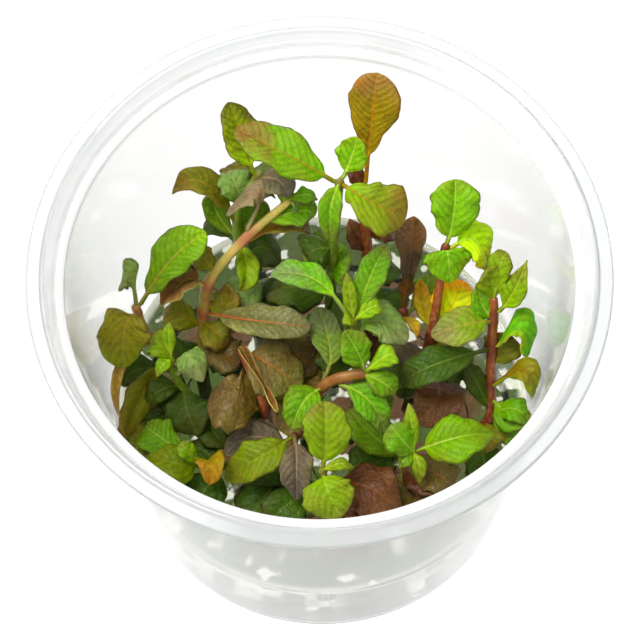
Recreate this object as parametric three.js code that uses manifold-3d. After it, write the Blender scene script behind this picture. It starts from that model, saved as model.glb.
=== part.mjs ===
// Brown hygrophila grown in vitro: a clear tapered cup with a flanged rim, a clear nutrient gel
// in its bottom, and sixteen leafy shoots that stand in the gel and fill the cup.
// Millimetres, +Z up, origin at the middle of the cup's foot, the front of the cup towards -Y.

import * as THREE from "three";
import { mergeVertices } from "three/addons/utils/BufferGeometryUtils.js";
import Module from "manifold-3d";

const wasm = await Module();
wasm.setup();

// Driving dimensions
const CUP_HEIGHT = 80;
const RIM_RADIUS = 50; // outer edge of the flange
const SEAT_RADIUS = 46.7; // inside of the bead, where a lid would sit
const MOUTH_RADIUS = 43.6; // inside of the wall under the lid seat
const FLOOR_RADIUS = 34.7; // inside of the wall at the floor
const FOOT_RADIUS = 35.5; // outside of the wall at the foot
const WALL = 0.95;
const FLOOR_TOP = 1.8;
const FOOT_RECESS = 0.6; // the middle of the foot is raised, so the cup stands on a flat ring
const FOOT_RING = [28, 33];
const SEAT_HEIGHT = 76.2;
const FLANGE_THICKNESS = 1.2;
const CUP_SIDES = 36;
const GEL_TOP = 25;
const GEL_SIDES = 20;
const CLEARANCE = 0.3; // gap between pieces that touch
const STEM_SIDES = 5;
const STEM_STEPS = 2; // rings between two points of a stem's path
const PETIOLE_RADIUS = 0.42;
const EDGE_THICKNESS = 0.175; // half of a blade's thickness beyond its middle
const PETIOLE_TAPER = 0.6; // how much of its radius a petiole loses over a leaf's length
const LEAF_STATIONS = [0, 0.12, 0.32, 0.58, 0.84, 1];
const SMALL_LEAF_STATIONS = [0, 0.2, 0.5, 0.82, 1];
const BRACT_STATIONS = [0, 0.3, 0.65, 1];
const BRACT_WIDTH = 6.1; // small leaves narrower than this have the fewer stations
const FUSE_TOLERANCE = 0.04; // slivers smaller than this go where fused pieces meet
const BLADE_MIRRORED = [1, 3]; // top and underside share diagonals, so a twisted blade stays clean
const KEELED_MIRRORED = [1, 2];
const HALVINGS = 30; // steps of the search for a height along a stem
const UP = new THREE.Vector3(0, 0, 1);

// Leaf forms: how long the stalk is, where the blade is widest (as parts of the length),
// and how blunt its ends are (a low number is blunter)
const FORMS = {
  oval: { stalk: 0.1, widest: 0.5, blunt: 0.58 },
  round: { stalk: 0.06, widest: 0.52, blunt: 0.48 },
  paddle: { stalk: 0.22, widest: 0.6, blunt: 0.5 },
  lance: { stalk: 0.08, widest: 0.46, blunt: 0.78 },
  tailed: { stalk: 0.14, widest: 0.4, blunt: 1.1 },
  blunt: { stalk: 0.06, widest: 0.6, blunt: 0.45 },
  spoon: { stalk: 0.5, widest: 0.66, blunt: 0.6 },
};

const COLOURS = {
  cup: "#eef2f2",
  gel: "#f1f0e4",
  stem: "#9a5a2a",
  lime: "#8bbf22",
  green: "#5c9a1f",
  deep: "#3c6f1c",
  olive: "#6c7020",
  brown: "#5a3f1e",
  rust: "#6b3216",
  purple: "#4a3230",
  grey: "#71825a",
  straw: "#a9963c",
};

// The shoots. A stem follows its path from inside the gel to its tip. A leaf starts on its stem at
// the height `from`, passes through `via` and ends at `tip`. `roll` turns its face about its
// length, and `fold` lifts both halves towards each other, in degrees. The leaves under `small`
// are grown in one with the stem.
const SHOOTS = [
  {
    stem: "stem_crown",
    path: [[2, 8, 5], [1.5, 11, 25], [2.5, 17, 50], [4, 22.5, 70]],
    radius: [1.2, 0.7],
    leaves: [
      { name: "leaf_crown_left", tone: "lime", form: "oval", width: 9.2, from: 69,
        via: [-5.5, 25.7, 73.6], tip: [-13.9, 30.6, 73.2], fold: 8 },
      { name: "leaf_crown_up", tone: "lime", form: "oval", width: 6, from: 69.6,
        via: [6.2, 25.4, 73.3], tip: [7.2, 27.6, 76], fold: 8 },
      { name: "leaf_crown_right", tone: "olive", form: "blunt", width: 9.6, from: 69,
        via: [9.3, 17.9, 70], tip: [15.2, 17.2, 65.7], fold: 6 },
    ],
    small: [
      { tone: "green", form: "lance", width: 3.8, from: 69,
        via: [2.2, 17, 68.5], tip: [2.4, 13.3, 63], fold: 30 },
      { tone: "green", form: "oval", width: 6, from: 46, via: [-0.3, 18.6, 49.6], tip: [-3.6, 18.8, 48.2] },
      { tone: "deep", form: "oval", width: 8, from: 40, via: [-4, 14.5, 43], tip: [-10, 15, 41] },
      { tone: "green", form: "round", width: 6.4, from: 45, via: [3, 16.4, 48], tip: [5.7, 16.6, 50] },
      { tone: "deep", form: "oval", width: 6, from: 52, via: [-1, 16.9, 53], tip: [-2.3, 15.2, 51] },
      { tone: "green", form: "oval", width: 6, from: 33, via: [-0.3, 10.2, 34], tip: [-2.9, 7.7, 33] },
    ],
  },
  {
    stem: "stem_back",
    path: [[7, 12, 5], [8.5, 14, 25], [8.6, 20.3, 48], [8, 25.5, 61]],
    radius: [1.2, 0.9],
    leaves: [
      { name: "leaf_tall", tone: "olive", form: "paddle", width: 9.6, from: 60.6,
        via: [9.7, 32.3, 72], tip: [11, 38.7, 78.7], fold: 5 },
    ],
    small: [
      { tone: "rust", form: "lance", width: 3.4, from: 46, via: [7, 20.8, 50.5], tip: [5.6, 23.2, 52.5] },
      { tone: "rust", form: "lance", width: 2.4, from: 60, via: [6.9, 27, 62.5], tip: [6.2, 28.4, 63.5] },
      { tone: "rust", form: "oval", width: 5, from: 49, via: [11.5, 22, 51.5], tip: [14.5, 21, 49] },
      { tone: "deep", form: "oval", width: 6, from: 39, via: [11.4, 18.5, 42], tip: [13.6, 21, 41] },
      { tone: "deep", form: "oval", width: 5, from: 35, via: [6.2, 12.6, 38], tip: [4.6, 9.8, 37] },
      { tone: "deep", form: "oval", width: 7, from: 36, via: [11.7, 13.1, 38], tip: [14.6, 9.9, 37] },
    ],
  },
  {
    stem: "stem_thick",
    path: [
      [-21.5, 6, 5], [-22, 7, 25], [-21, 12, 40], [-19.3, 15, 47], [-12.6, 20.1, 53],
      [-4.8, 24.7, 58],
    ],
    radius: [1.3, 0.7],
    leaves: [
      { name: "leaf_arched_brown", tone: "purple", form: "paddle", width: 6.4, from: 53.3,
        via: [-10.4, 24.9, 60.6], tip: [-16.4, 23.4, 55.2], fold: 0 },
      { name: "leaf_arched_right", tone: "brown", form: "oval", width: 4.8, from: 52.6,
        via: [-4, 23.4, 51.4], tip: [-0.6, 21.8, 45.2], fold: 15 },
      { name: "leaf_long_olive", tone: "olive", form: "oval", width: 7, from: 39.5,
        via: [-10.6, 6, 46.9], tip: [-1.9, 5.2, 46], fold: 10 },
      { name: "leaf_folded_rim", tone: "brown", form: "oval", width: 7.4, from: 45.5,
        via: [-24.1, 13.6, 48.4], tip: [-28.2, 10.8, 44], fold: 30 },
    ],
    small: [
      { tone: "grey", form: "lance", width: 3, from: 57.6, via: [-3.6, 24.4, 57], tip: [-3.1, 23, 53.5] },
      { tone: "green", form: "lance", width: 2.6, from: 57.8,
        via: [-2.2, 25.2, 58.6], tip: [0.2, 25, 57.6] },
      { tone: "green", form: "lance", width: 2.4, from: 57, via: [-5.8, 25.8, 59.2], tip: [-6.6, 27, 60] },
      { tone: "olive", form: "oval", width: 4.6, from: 36,
        via: [-25.6, 10.8, 40.5], tip: [-29.1, 12.4, 40] },
      { tone: "olive", form: "oval", width: 4, from: 47.5,
        via: [-20.8, 17.4, 50], tip: [-22.9, 18.4, 49.6] },
      { tone: "deep", form: "oval", width: 6, from: 29, via: [-17.5, 6, 31], tip: [-14, 3, 30] },
      { tone: "olive", form: "oval", width: 5, from: 40.5, via: [-17.2, 12.4, 42], tip: [-16.7, 15.2, 44] },
      { tone: "olive", form: "oval", width: 5.6, from: 37, via: [-18.7, 7.6, 39], tip: [-16, 6, 38] },
      { tone: "deep", form: "oval", width: 7, from: 31.5, via: [-24.2, 6, 33], tip: [-27.1, 4.1, 33] },
      { tone: "brown", form: "oval", width: 6.4, from: 35.5,
        via: [-17.9, 4.8, 36.4], tip: [-14.7, 2.9, 36] },
      { tone: "green", form: "oval", width: 4.6, from: 54.6, via: [-3.5, 23.3, 56], tip: [-0.2, 22.6, 56] },
    ],
  },
  {
    stem: "stem_upper_left",
    path: [[-11, 12, 5], [-11.6, 14.5, 25], [-14.6, 24.4, 50], [-10, 29.6, 60]],
    radius: [1.2, 0.7],
    leaves: [
      { name: "leaf_back_dark", tone: "olive", form: "oval", width: 7, from: 59,
        via: [-13.5, 33, 67], tip: [-15.6, 37.5, 71], fold: 8 },
    ],
    small: [
      { tone: "olive", form: "lance", width: 4.4, from: 49,
        via: [-20.4, 27.4, 60.2], tip: [-26.2, 26.6, 57.6], fold: 20 },
      { tone: "grey", form: "oval", width: 5.4, from: 52,
        via: [-9, 29.4, 56.5], tip: [-6.7, 28.2, 54.5], roll: 15 },
      { tone: "green", form: "lance", width: 3.8, from: 46,
        via: [-18.6, 28, 48.5], tip: [-16.5, 29.6, 51] },
      { tone: "deep", form: "paddle", width: 4.6, from: 44.5,
        via: [-18.2, 26.6, 44], tip: [-21.4, 28.4, 42.6] },
      { tone: "olive", form: "round", width: 5, from: 52,
        via: [-14.1, 30.4, 56.6], tip: [-16.7, 31.8, 54.6] },
      { tone: "deep", form: "oval", width: 7, from: 38.5,
        via: [-10.9, 22.6, 43.2], tip: [-6.4, 20.3, 40.6] },
      { tone: "deep", form: "oval", width: 7, from: 35, via: [-8, 15.5, 37.5], tip: [-2.5, 13, 36.5] },
      { tone: "grey", form: "oval", width: 5.4, from: 40,
        via: [-13.8, 14.9, 41.5], tip: [-16.4, 12.2, 40.5] },
      { tone: "lime", form: "lance", width: 3.6, from: 46.5,
        via: [-12.9, 16.1, 47], tip: [-14.6, 13.1, 45], fold: 25 },
      { tone: "purple", form: "oval", width: 5, from: 58, via: [-7.2, 26.9, 61.5], tip: [-5.5, 24.3, 60] },
      { tone: "deep", form: "oval", width: 8, from: 36, via: [-10.1, 14.1, 37.4], tip: [-6, 10.8, 36.4] },
      { tone: "grey", form: "round", width: 5.4, from: 53.4,
        via: [-14.7, 28.4, 58], tip: [-16.5, 30.9, 57] },
      { tone: "green", form: "oval", width: 5, from: 47,
        via: [-11.4, 25.6, 49.6], tip: [-8.6, 26.4, 50.4] },
    ],
  },
  {
    stem: "stem_left",
    path: [[-25, 4, 5], [-26.5, 5, 25], [-31.4, 8, 38], [-33.2, 10.3, 46]],
    radius: [1.1, 0.7],
    leaves: [
      { name: "leaf_left_green", tone: "green", form: "oval", width: 8.6, from: 45.4,
        via: [-26, 16, 53], tip: [-19.8, 19.3, 56], fold: 8 },
      { name: "leaf_left_brown", tone: "olive", form: "round", width: 9.6, from: 44.2,
        via: [-34.9, 5.2, 47.6], tip: [-35.6, 0.4, 40.2], roll: -32, fold: 0 },
      { name: "leaf_dried", tone: "straw", form: "lance", width: 2.4, from: 37,
        via: [-36.6, 0.2, 38.4], tip: [-36.4, -7.6, 36.4], fold: 30 },
    ],
    small: [
      { tone: "grey", form: "paddle", width: 4.8, from: 45,
        via: [-33.9, 13.4, 52], tip: [-36.4, 11.9, 49.6] },
      { tone: "deep", form: "oval", width: 5.4, from: 27.2,
        via: [-33.6, 4.4, 30.5], tip: [-36, 0.5, 31.4] },
      { tone: "olive", form: "oval", width: 5.4, from: 31,
        via: [-33.6, -3.6, 33.2], tip: [-34.6, -10, 33.2], roll: -40 },
    ],
  },
  {
    stem: "stem_left_shoot",
    path: [[-21, -2, 5], [-22, -2, 25], [-26, 0.4, 34], [-27, 2, 41]],
    radius: [1.1, 0.6],
    leaves: [
      { name: "leaf_grey_folded", tone: "grey", form: "oval", width: 7.4, from: 39.4,
        via: [-23.8, 0.8, 44.2], tip: [-21.2, -3.2, 41.6], fold: -25 },
    ],
    small: [
      { tone: "lime", form: "oval", width: 4.4, from: 40, via: [-29, 4, 42.6], tip: [-31.2, 5.2, 42.4] },
      { tone: "lime", form: "lance", width: 2, from: 40.6, via: [-27.2, 4.6, 44.5], tip: [-27.1, 6.7, 46] },
      { tone: "lime", form: "lance", width: 2.2, from: 40,
        via: [-28.4, 0.4, 41.6], tip: [-29.5, -1, 39.6] },
      { tone: "deep", form: "lance", width: 3.4, from: 32.4,
        via: [-29.6, -1.6, 34], tip: [-32.2, -4.4, 31] },
      { tone: "deep", form: "oval", width: 5, from: 27, via: [-29.5, -6, 28.4], tip: [-33.5, -9.5, 27.6] },
      { tone: "deep", form: "oval", width: 5, from: 27, via: [-20.4, -6.6, 28.5], tip: [-17.4, -10.2, 28] },
      { tone: "deep", form: "oval", width: 6.4, from: 32,
        via: [-24.6, -4.2, 32.4], tip: [-22.9, -9.2, 31] },
      { tone: "deep", form: "oval", width: 6, from: 30, via: [-29.5, -1, 31], tip: [-31.9, -4.2, 31] },
    ],
  },
  {
    stem: "stem_mid_left",
    path: [[-9, -5, 5], [-10, -5, 25], [-10.8, -4, 35], [-14.6, 4.4, 40.4]],
    radius: [1.1, 0.8],
    leaves: [
      { name: "leaf_brown_mid", tone: "brown", form: "round", width: 11, from: 39.6,
        via: [-9.2, 0.2, 41], tip: [-3.6, -2.9, 37.6], fold: -6 },
      { name: "leaf_spoon", tone: "olive", form: "spoon", width: 3.4, from: 40.2,
        via: [-12.4, -1.8, 44.4], tip: [-8.2, -9.8, 42.4], fold: 30 },
      { name: "leaf_round_brown", tone: "brown", form: "round", width: 12.6, from: 33,
        via: [-15.5, -5.4, 38.6], tip: [-20.4, -3.2, 36.6], fold: -8 },
    ],
    small: [
      { tone: "olive", form: "oval", width: 6.4, from: 32, via: [-5.4, -1.2, 34], tip: [0, 1.7, 34.6] },
      { tone: "deep", form: "oval", width: 6, from: 26.8, via: [-13, -9.5, 28.5], tip: [-14.5, -14, 28] },
      { tone: "brown", form: "oval", width: 8.4, from: 37.6, via: [-6.5, 3.2, 38.4], tip: [-0.4, 0.7, 37] },
      { tone: "purple", form: "oval", width: 6.4, from: 30,
        via: [-11.8, -9.9, 31], tip: [-17.5, -11.8, 30] },
      { tone: "deep", form: "oval", width: 7, from: 28.5,
        via: [-13.4, -2.8, 29.8], tip: [-16.8, -1.2, 30] },
    ],
  },
  {
    stem: "stem_centre",
    path: [[5, -2, 5], [6, -2, 25], [6.4, 0.6, 40], [5.9, 4, 51.5]],
    radius: [1.1, 0.6],
    leaves: [
      { name: "leaf_centre_left", tone: "lime", form: "paddle", width: 6.2, from: 50.8,
        via: [-1.1, 10.6, 54.5], tip: [-8.4, 11.7, 53], fold: 8 },
      { name: "leaf_centre_up", tone: "green", form: "oval", width: 5.4, from: 50.6,
        via: [9.2, 10.5, 56], tip: [12.3, 15.6, 58], fold: 10 },
      { name: "leaf_centre_round", tone: "grey", form: "round", width: 8, from: 48,
        via: [10.9, 4.6, 48.9], tip: [15, 1.8, 45.4] },
    ],
    small: [
      { tone: "lime", form: "lance", width: 2.2, from: 51, via: [5.3, 6.9, 55.2], tip: [4.7, 10.3, 57] },
      { tone: "lime", form: "oval", width: 2.8, from: 50.8, via: [9, 5.2, 53.4], tip: [11.8, 6, 52.4] },
      { tone: "lime", form: "round", width: 2.4, from: 50.8, via: [4.9, 3.3, 52.8], tip: [3.8, 3.2, 53] },
      { tone: "deep", form: "oval", width: 6, from: 35, via: [11, -1, 38], tip: [14.5, -3.5, 37.5] },
      { tone: "deep", form: "oval", width: 7, from: 42, via: [5.7, 9.5, 44], tip: [7.9, 11.9, 43] },
      { tone: "green", form: "oval", width: 7, from: 33.6, via: [9.4, -3.7, 35], tip: [12.9, -5.3, 34] },
      { tone: "deep", form: "oval", width: 7, from: 38, via: [2.7, 2.9, 39], tip: [-0.5, 4.8, 38] },
    ],
  },
  {
    stem: "stem_rosette",
    path: [[-3, -7, 5], [-3, -7, 25], [-1, -5, 38], [2, -4.2, 43.4], [8, -4, 46]],
    radius: [1.1, 0.8],
    leaves: [
      { name: "leaf_rosette_back", tone: "green", form: "oval", width: 6, from: 45.9,
        via: [6.4, -1.9, 50.5], tip: [4.2, 0.8, 53.6], fold: 5 },
      { name: "leaf_drooping", tone: "green", form: "oval", width: 6, from: 43.8,
        via: [8.4, -8.3, 43], tip: [10.9, -12.3, 38], fold: 8 },
      { name: "leaf_grey_up", tone: "grey", form: "paddle", width: 6, from: 42,
        via: [1.6, 1.5, 44.6], tip: [-0.4, 10.2, 42.6], fold: 5 },
      { name: "leaf_glossy", tone: "green", form: "round", width: 7.4, from: 41.2,
        via: [-3.4, -8.3, 43], tip: [-5.6, -12, 40], fold: 8 },
    ],
    small: [
      { tone: "lime", form: "oval", width: 3.6, from: 45.9,
        via: [11.7, -2.4, 49.6], tip: [14.2, -2, 48.6] },
      { tone: "green", form: "oval", width: 4, from: 45.6,
        via: [10.8, -5.8, 45.5], tip: [12.8, -6.8, 42.8] },
      { tone: "brown", form: "oval", width: 6.4, from: 32.6,
        via: [-5.2, -6.8, 33.4], tip: [-8.4, -8.6, 32] },
      { tone: "deep", form: "oval", width: 6.4, from: 30, via: [0.4, -9.4, 31], tip: [3.8, -11.3, 30] },
    ],
  },
  {
    stem: "stem_front_left",
    path: [[-6, -12, 5], [-6, -13, 25], [-5, -11.6, 36.6]],
    radius: [1, 0.7],
    leaves: [
      { name: "leaf_olive_front", tone: "olive", form: "oval", width: 7.4, from: 36,
        via: [-11.4, -16.4, 37.6], tip: [-18.4, -18.2, 32.2], fold: 6 },
      { name: "leaf_grey_purple", tone: "purple", form: "oval", width: 6, from: 36.2,
        via: [-4.8, -18.4, 38.6], tip: [-5.1, -23.6, 34], fold: 6 },
    ],
    small: [
      { tone: "purple", form: "oval", width: 5, from: 29.4,
        via: [-12, -10, 32], tip: [-18.6, -12.4, 30.6] },
      { tone: "deep", form: "oval", width: 8, from: 26.8,
        via: [-10.5, -20, 28.5], tip: [-15.5, -25.5, 27.5] },
      { tone: "deep", form: "oval", width: 7, from: 28.4,
        via: [-9.8, -14.9, 29.4], tip: [-12.6, -17.8, 28.6] },
    ],
  },
  {
    stem: "stem_front",
    path: [[0, -17, 5], [-0.2, -18.4, 25], [-0.2, -20.4, 41]],
    radius: [1.1, 0.7],
    leaves: [
      { name: "leaf_front_up", tone: "lime", form: "round", width: 8.8, from: 40.4,
        via: [0.6, -15.3, 46], tip: [0.4, -10.2, 48], fold: 5 },
      { name: "leaf_front_down", tone: "lime", form: "round", width: 9.4, from: 40,
        via: [0.6, -24.8, 42], tip: [2.6, -28.2, 38] },
      { name: "leaf_brown_front", tone: "rust", form: "round", width: 10.4, from: 30,
        via: [7.6, -21.8, 36], tip: [13.5, -26, 33], fold: -5 },
    ],
    small: [
      { tone: "lime", form: "oval", width: 2, from: 40, via: [2.6, -20, 42.4], tip: [5.8, -19.8, 41.4] },
      { tone: "deep", form: "oval", width: 6, from: 28, via: [-6.5, -23, 31.4], tip: [-9.8, -26, 29.4] },
      { tone: "rust", form: "oval", width: 6, from: 26.8, via: [4, -25, 29], tip: [6, -31, 28] },
      { tone: "deep", form: "oval", width: 7, from: 29.4, via: [-4.2, -21, 30.6], tip: [-7, -23.9, 30] },
    ],
  },
  {
    stem: "stem_left_front",
    path: [[-16, -11, 5], [-17, -12, 22], [-22.2, -15.2, 31]],
    radius: [1.1, 0.7],
    leaves: [
      { name: "leaf_lime_front", tone: "lime", form: "round", width: 7.6, from: 30.6,
        via: [-26.4, -16.1, 34.8], tip: [-31.8, -13.4, 33.2] },
      { name: "leaf_green_round", tone: "green", form: "paddle", width: 7, from: 28.6,
        via: [-28.4, -10.6, 32.4], tip: [-32.2, -6.8, 31.4] },
    ],
    small: [
      { tone: "straw", form: "oval", width: 4.6, from: 30.5,
        via: [-20, -16.6, 36.2], tip: [-20.5, -20, 34.6], fold: 25 },
      { tone: "lime", form: "oval", width: 2.8, from: 30.5,
        via: [-24.2, -14.2, 35.6], tip: [-25.4, -12.7, 36] },
      { tone: "olive", form: "paddle", width: 4.8, from: 27.5,
        via: [-31.8, -10, 30.2], tip: [-34.6, -6.6, 30.8] },
      { tone: "deep", form: "oval", width: 7, from: 26.8, via: [-22, -19.5, 28.5], tip: [-26, -23, 27.6] },
      { tone: "deep", form: "oval", width: 5.4, from: 26.6,
        via: [-21.6, -10.9, 27.8], tip: [-24.6, -9.8, 27.4] },
    ],
  },
  {
    stem: "stem_right_front",
    path: [[12, -11, 5], [13, -12, 24], [16.2, -15.9, 37.5]],
    radius: [1.1, 0.6],
    leaves: [
      { name: "leaf_bright_right", tone: "green", form: "oval", width: 9.6, from: 36.8,
        via: [23.4, -15.2, 41.6], tip: [31, -12.7, 39], fold: 6 },
    ],
    small: [
      { tone: "green", form: "round", width: 5, from: 37, via: [14, -15, 41], tip: [12.2, -12.6, 42] },
      { tone: "lime", form: "lance", width: 2.2, from: 37,
        via: [15.8, -12.6, 41.6], tip: [15.3, -9, 43.5] },
      { tone: "lime", form: "lance", width: 2.2, from: 36.6, via: [17, -18.6, 37.4], tip: [17, -20.8, 34] },
      { tone: "green", form: "lance", width: 2.2, from: 36.4,
        via: [14.6, -17.4, 38], tip: [13.4, -18.6, 36.5] },
      { tone: "green", form: "round", width: 5.4, from: 28.5,
        via: [8.6, -11, 34.6], tip: [4.8, -7.2, 35.2] },
      { tone: "brown", form: "oval", width: 6, from: 28.5,
        via: [20.4, -18.2, 32.4], tip: [23.6, -21, 30.6] },
      { tone: "brown", form: "oval", width: 7, from: 26.8, via: [17.5, -22.6, 29], tip: [19.8, -27.6, 28] },
      { tone: "rust", form: "oval", width: 7, from: 29.6, via: [18.5, -17.8, 31], tip: [22.4, -20.5, 31] },
      { tone: "deep", form: "oval", width: 7, from: 27, via: [9.1, -14.6, 28.6], tip: [5.9, -18, 28] },
    ],
  },
  {
    stem: "stem_mid_right",
    path: [[10, 5, 5], [11, 6, 25], [15.2, 9.8, 43]],
    radius: [1.1, 0.8],
    leaves: [
      { name: "leaf_red_brown", tone: "rust", form: "oval", width: 8, from: 42.4,
        via: [16.2, 14.4, 52], tip: [16.8, 20.8, 58], fold: 8 },
    ],
    small: [
      { tone: "straw", form: "lance", width: 1.6, from: 40, via: [16.6, 6, 45], tip: [17.2, 3.4, 44] },
      { tone: "green", form: "paddle", width: 4.4, from: 39,
        via: [18.6, 12.5, 43], tip: [19.6, 16.5, 43.5] },
      { tone: "rust", form: "oval", width: 7, from: 33, via: [11.2, 5.3, 35], tip: [8.8, 2.6, 34] },
      { tone: "deep", form: "oval", width: 6.4, from: 30, via: [14.9, 2.1, 31], tip: [14.1, -2.2, 30] },
    ],
  },
  {
    stem: "stem_right_crown",
    path: [[16, 4, 5], [18, 5, 25], [20, 5.6, 42], [22.6, 15.6, 58]],
    radius: [1.2, 0.7],
    leaves: [
      { name: "leaf_right_up", tone: "lime", form: "round", width: 8.8, from: 57.4,
        via: [24, 19.2, 64], tip: [24.2, 23.6, 66.7], fold: 5 },
      { name: "leaf_right_down", tone: "green", form: "round", width: 9.4, from: 56.8,
        via: [22.8, 13.1, 57.4], tip: [23.2, 10.2, 52.8] },
      { name: "leaf_right_yellow", tone: "lime", form: "oval", width: 8.6, from: 57,
        via: [27.9, 15.9, 57.4], tip: [29.3, 13.2, 51], fold: 8 },
      { name: "leaf_orange", tone: "straw", form: "oval", width: 8.4, from: 41,
        via: [24, 9, 47], tip: [25.8, 14.1, 46.4], fold: 5 },
      { name: "leaf_brown_right", tone: "rust", form: "oval", width: 9.6, from: 28.5,
        via: [21.2, -3.9, 35], tip: [16.6, -8.2, 33], fold: 5 },
    ],
    small: [
      { tone: "purple", form: "oval", width: 6, from: 35, via: [16.4, 3.1, 36.4], tip: [14, 0.8, 35] },
      { tone: "straw", form: "lance", width: 3, from: 42, via: [18.6, 10.4, 44], tip: [18.1, 14.2, 46] },
      { tone: "deep", form: "oval", width: 6, from: 36.4, via: [23.6, 1.1, 38], tip: [25.9, -2.1, 37] },
      { tone: "olive", form: "oval", width: 6.4, from: 38, via: [22.8, 6.5, 39.4], tip: [25.8, 7.5, 40.4] },
      { tone: "deep", form: "oval", width: 7, from: 27, via: [22, 0.4, 28], tip: [24.9, -1.6, 27.4] },
    ],
  },
  {
    stem: "stem_right",
    path: [
      [23, -8, 5], [25, -8, 22], [30.2, -6.6, 30], [30.4, -2.2, 36], [30.9, 6.4, 47],
      [31, 8.4, 50],
    ],
    radius: [1.2, 0.7],
    leaves: [
      { name: "leaf_dark_right", tone: "deep", form: "oval", width: 7.2, from: 41.5,
        via: [20.2, -2.2, 44.6], tip: [13.9, -4, 41], fold: 8 },
      { name: "leaf_yellow_green", tone: "grey", form: "oval", width: 7.4, from: 46,
        via: [25.7, 3.3, 49.5], tip: [19.8, 2.4, 47.2], fold: 5 },
      { name: "leaf_sprig_right", tone: "green", form: "tailed", width: 5.2, from: 47.4,
        via: [34.5, 8.4, 52.2], tip: [37, 13, 55], fold: 15 },
      { name: "leaf_sprig_low", tone: "green", form: "round", width: 7.4, from: 42,
        via: [35.6, 3.4, 47], tip: [37.2, 0, 42] },
      { name: "leaf_sprig_curled", tone: "olive", form: "oval", width: 5.4, from: 36,
        via: [36.2, -4, 45.4], tip: [37.4, -7.2, 40.5], fold: 10 },
    ],
    small: [
      { tone: "lime", form: "oval", width: 3.6, from: 49.4, via: [32, 12, 55.2], tip: [33.3, 14.4, 55] },
      { tone: "green", form: "oval", width: 4.2, from: 30,
        via: [34.2, -7.6, 36.6], tip: [36.4, -9.4, 34.2] },
      { tone: "deep", form: "lance", width: 3.4, from: 31.5,
        via: [27.8, -2.6, 37.4], tip: [26, 0.4, 39.4] },
      { tone: "olive", form: "oval", width: 4.6, from: 29,
        via: [30.6, -11.4, 32.4], tip: [31.4, -13.6, 31] },
      { tone: "deep", form: "oval", width: 5.4, from: 26.8,
        via: [29, -14.5, 28.6], tip: [28.5, -19.5, 28] },
      { tone: "deep", form: "oval", width: 5, from: 26.8, via: [33, -6, 28.4], tip: [35, -3.2, 28.2] },
      { tone: "green", form: "lance", width: 4, from: 46.4, via: [28.9, 7.3, 49], tip: [28.4, 10.1, 51] },
      { tone: "lime", form: "oval", width: 4.6, from: 49.4,
        via: [30.6, 10.1, 53], tip: [29.8, 11.8, 55.6] },
      { tone: "olive", form: "oval", width: 5.6, from: 39, via: [32.2, 2.3, 41], tip: [33.2, 4.6, 43] },
      { tone: "green", form: "lance", width: 3.4, from: 31, via: [33.2, -9.6, 32], tip: [34.2, -13.4, 31] },
      { tone: "green", form: "oval", width: 5.4, from: 33.6, via: [34.2, -8.2, 35], tip: [36, -7.1, 35.4] },
    ],
  },
];

const vector = (place) => new THREE.Vector3(...place);

function finish(colour, roughness = 0.5) {
  return new THREE.MeshStandardMaterial({ color: colour, roughness, metalness: 0 });
}

// A closed skin over rings of points, each ring in the same order. The faces of a mirrored side
// are cut along their other diagonal.
function loft(rings, mirrored = []) {
  const sides = rings[0].length;
  const faces = [];
  for (let i = 0; i + 1 < rings.length; i += 1) {
    for (let j = 0; j < sides; j += 1) {
      const near = i * sides + j;
      const nearNext = i * sides + ((j + 1) % sides);
      const far = near + sides;
      const farNext = nearNext + sides;
      if (mirrored.includes(j)) faces.push(near, nearNext, far, nearNext, farNext, far);
      else faces.push(near, nearNext, farNext, near, farNext, far);
    }
  }
  const last = (rings.length - 1) * sides;
  for (let j = 1; j + 1 < sides; j += 1) {
    faces.push(0, j + 1, j, last, last + j, last + j + 1);
  }
  const geometry = new THREE.BufferGeometry().setFromPoints(rings.flat());
  geometry.setIndex(faces);
  return geometry;
}

function stemCurve(shoot) {
  return new THREE.CatmullRomCurve3(shoot.path.map(vector), false, "catmullrom", 0.5);
}

function stemRadius(shoot, along) {
  return THREE.MathUtils.lerp(shoot.radius[0], shoot.radius[1], along);
}

// How far along a stem it reaches a height: stems only climb
function alongAtHeight(curve, height) {
  let low = 0;
  let high = 1;
  for (let step = 0; step < HALVINGS; step += 1) {
    const middle = (low + high) / 2;
    if (curve.getPoint(middle).z < height) low = middle;
    else high = middle;
  }
  return (low + high) / 2;
}

function stemGeometry(shoot, extra = 0) {
  const curve = stemCurve(shoot);
  const count = (shoot.path.length - 1) * STEM_STEPS;
  const rings = [];
  for (let i = 0; i <= count; i += 1) {
    const along = i / count;
    const centre = curve.getPoint(along);
    const tangent = curve.getTangent(along);
    const side = new THREE.Vector3(0, 1, 0).cross(tangent).normalize();
    const back = tangent.clone().cross(side);
    const radius = stemRadius(shoot, along) + extra;
    if (extra > 0 && i === 0) centre.addScaledVector(tangent, -extra);
    const ring = [];
    for (let j = 0; j < STEM_SIDES; j += 1) {
      const angle = (j / STEM_SIDES) * 2 * Math.PI;
      const point = centre.clone();
      point.addScaledVector(side, radius * Math.cos(angle));
      point.addScaledVector(back, radius * Math.sin(angle));
      ring.push(point);
    }
    rings.push(ring);
  }
  return loft(rings);
}

// Half the blade's width, as a part of its full half width
function bladeOutline(form, along) {
  if (along <= form.stalk) return 0;
  const part = (along - form.stalk) / (1 - form.stalk);
  const power = Math.log(0.5) / Math.log(form.widest);
  return Math.pow(Math.max(Math.sin(Math.PI * Math.pow(part, power)), 0), form.blunt);
}

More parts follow.
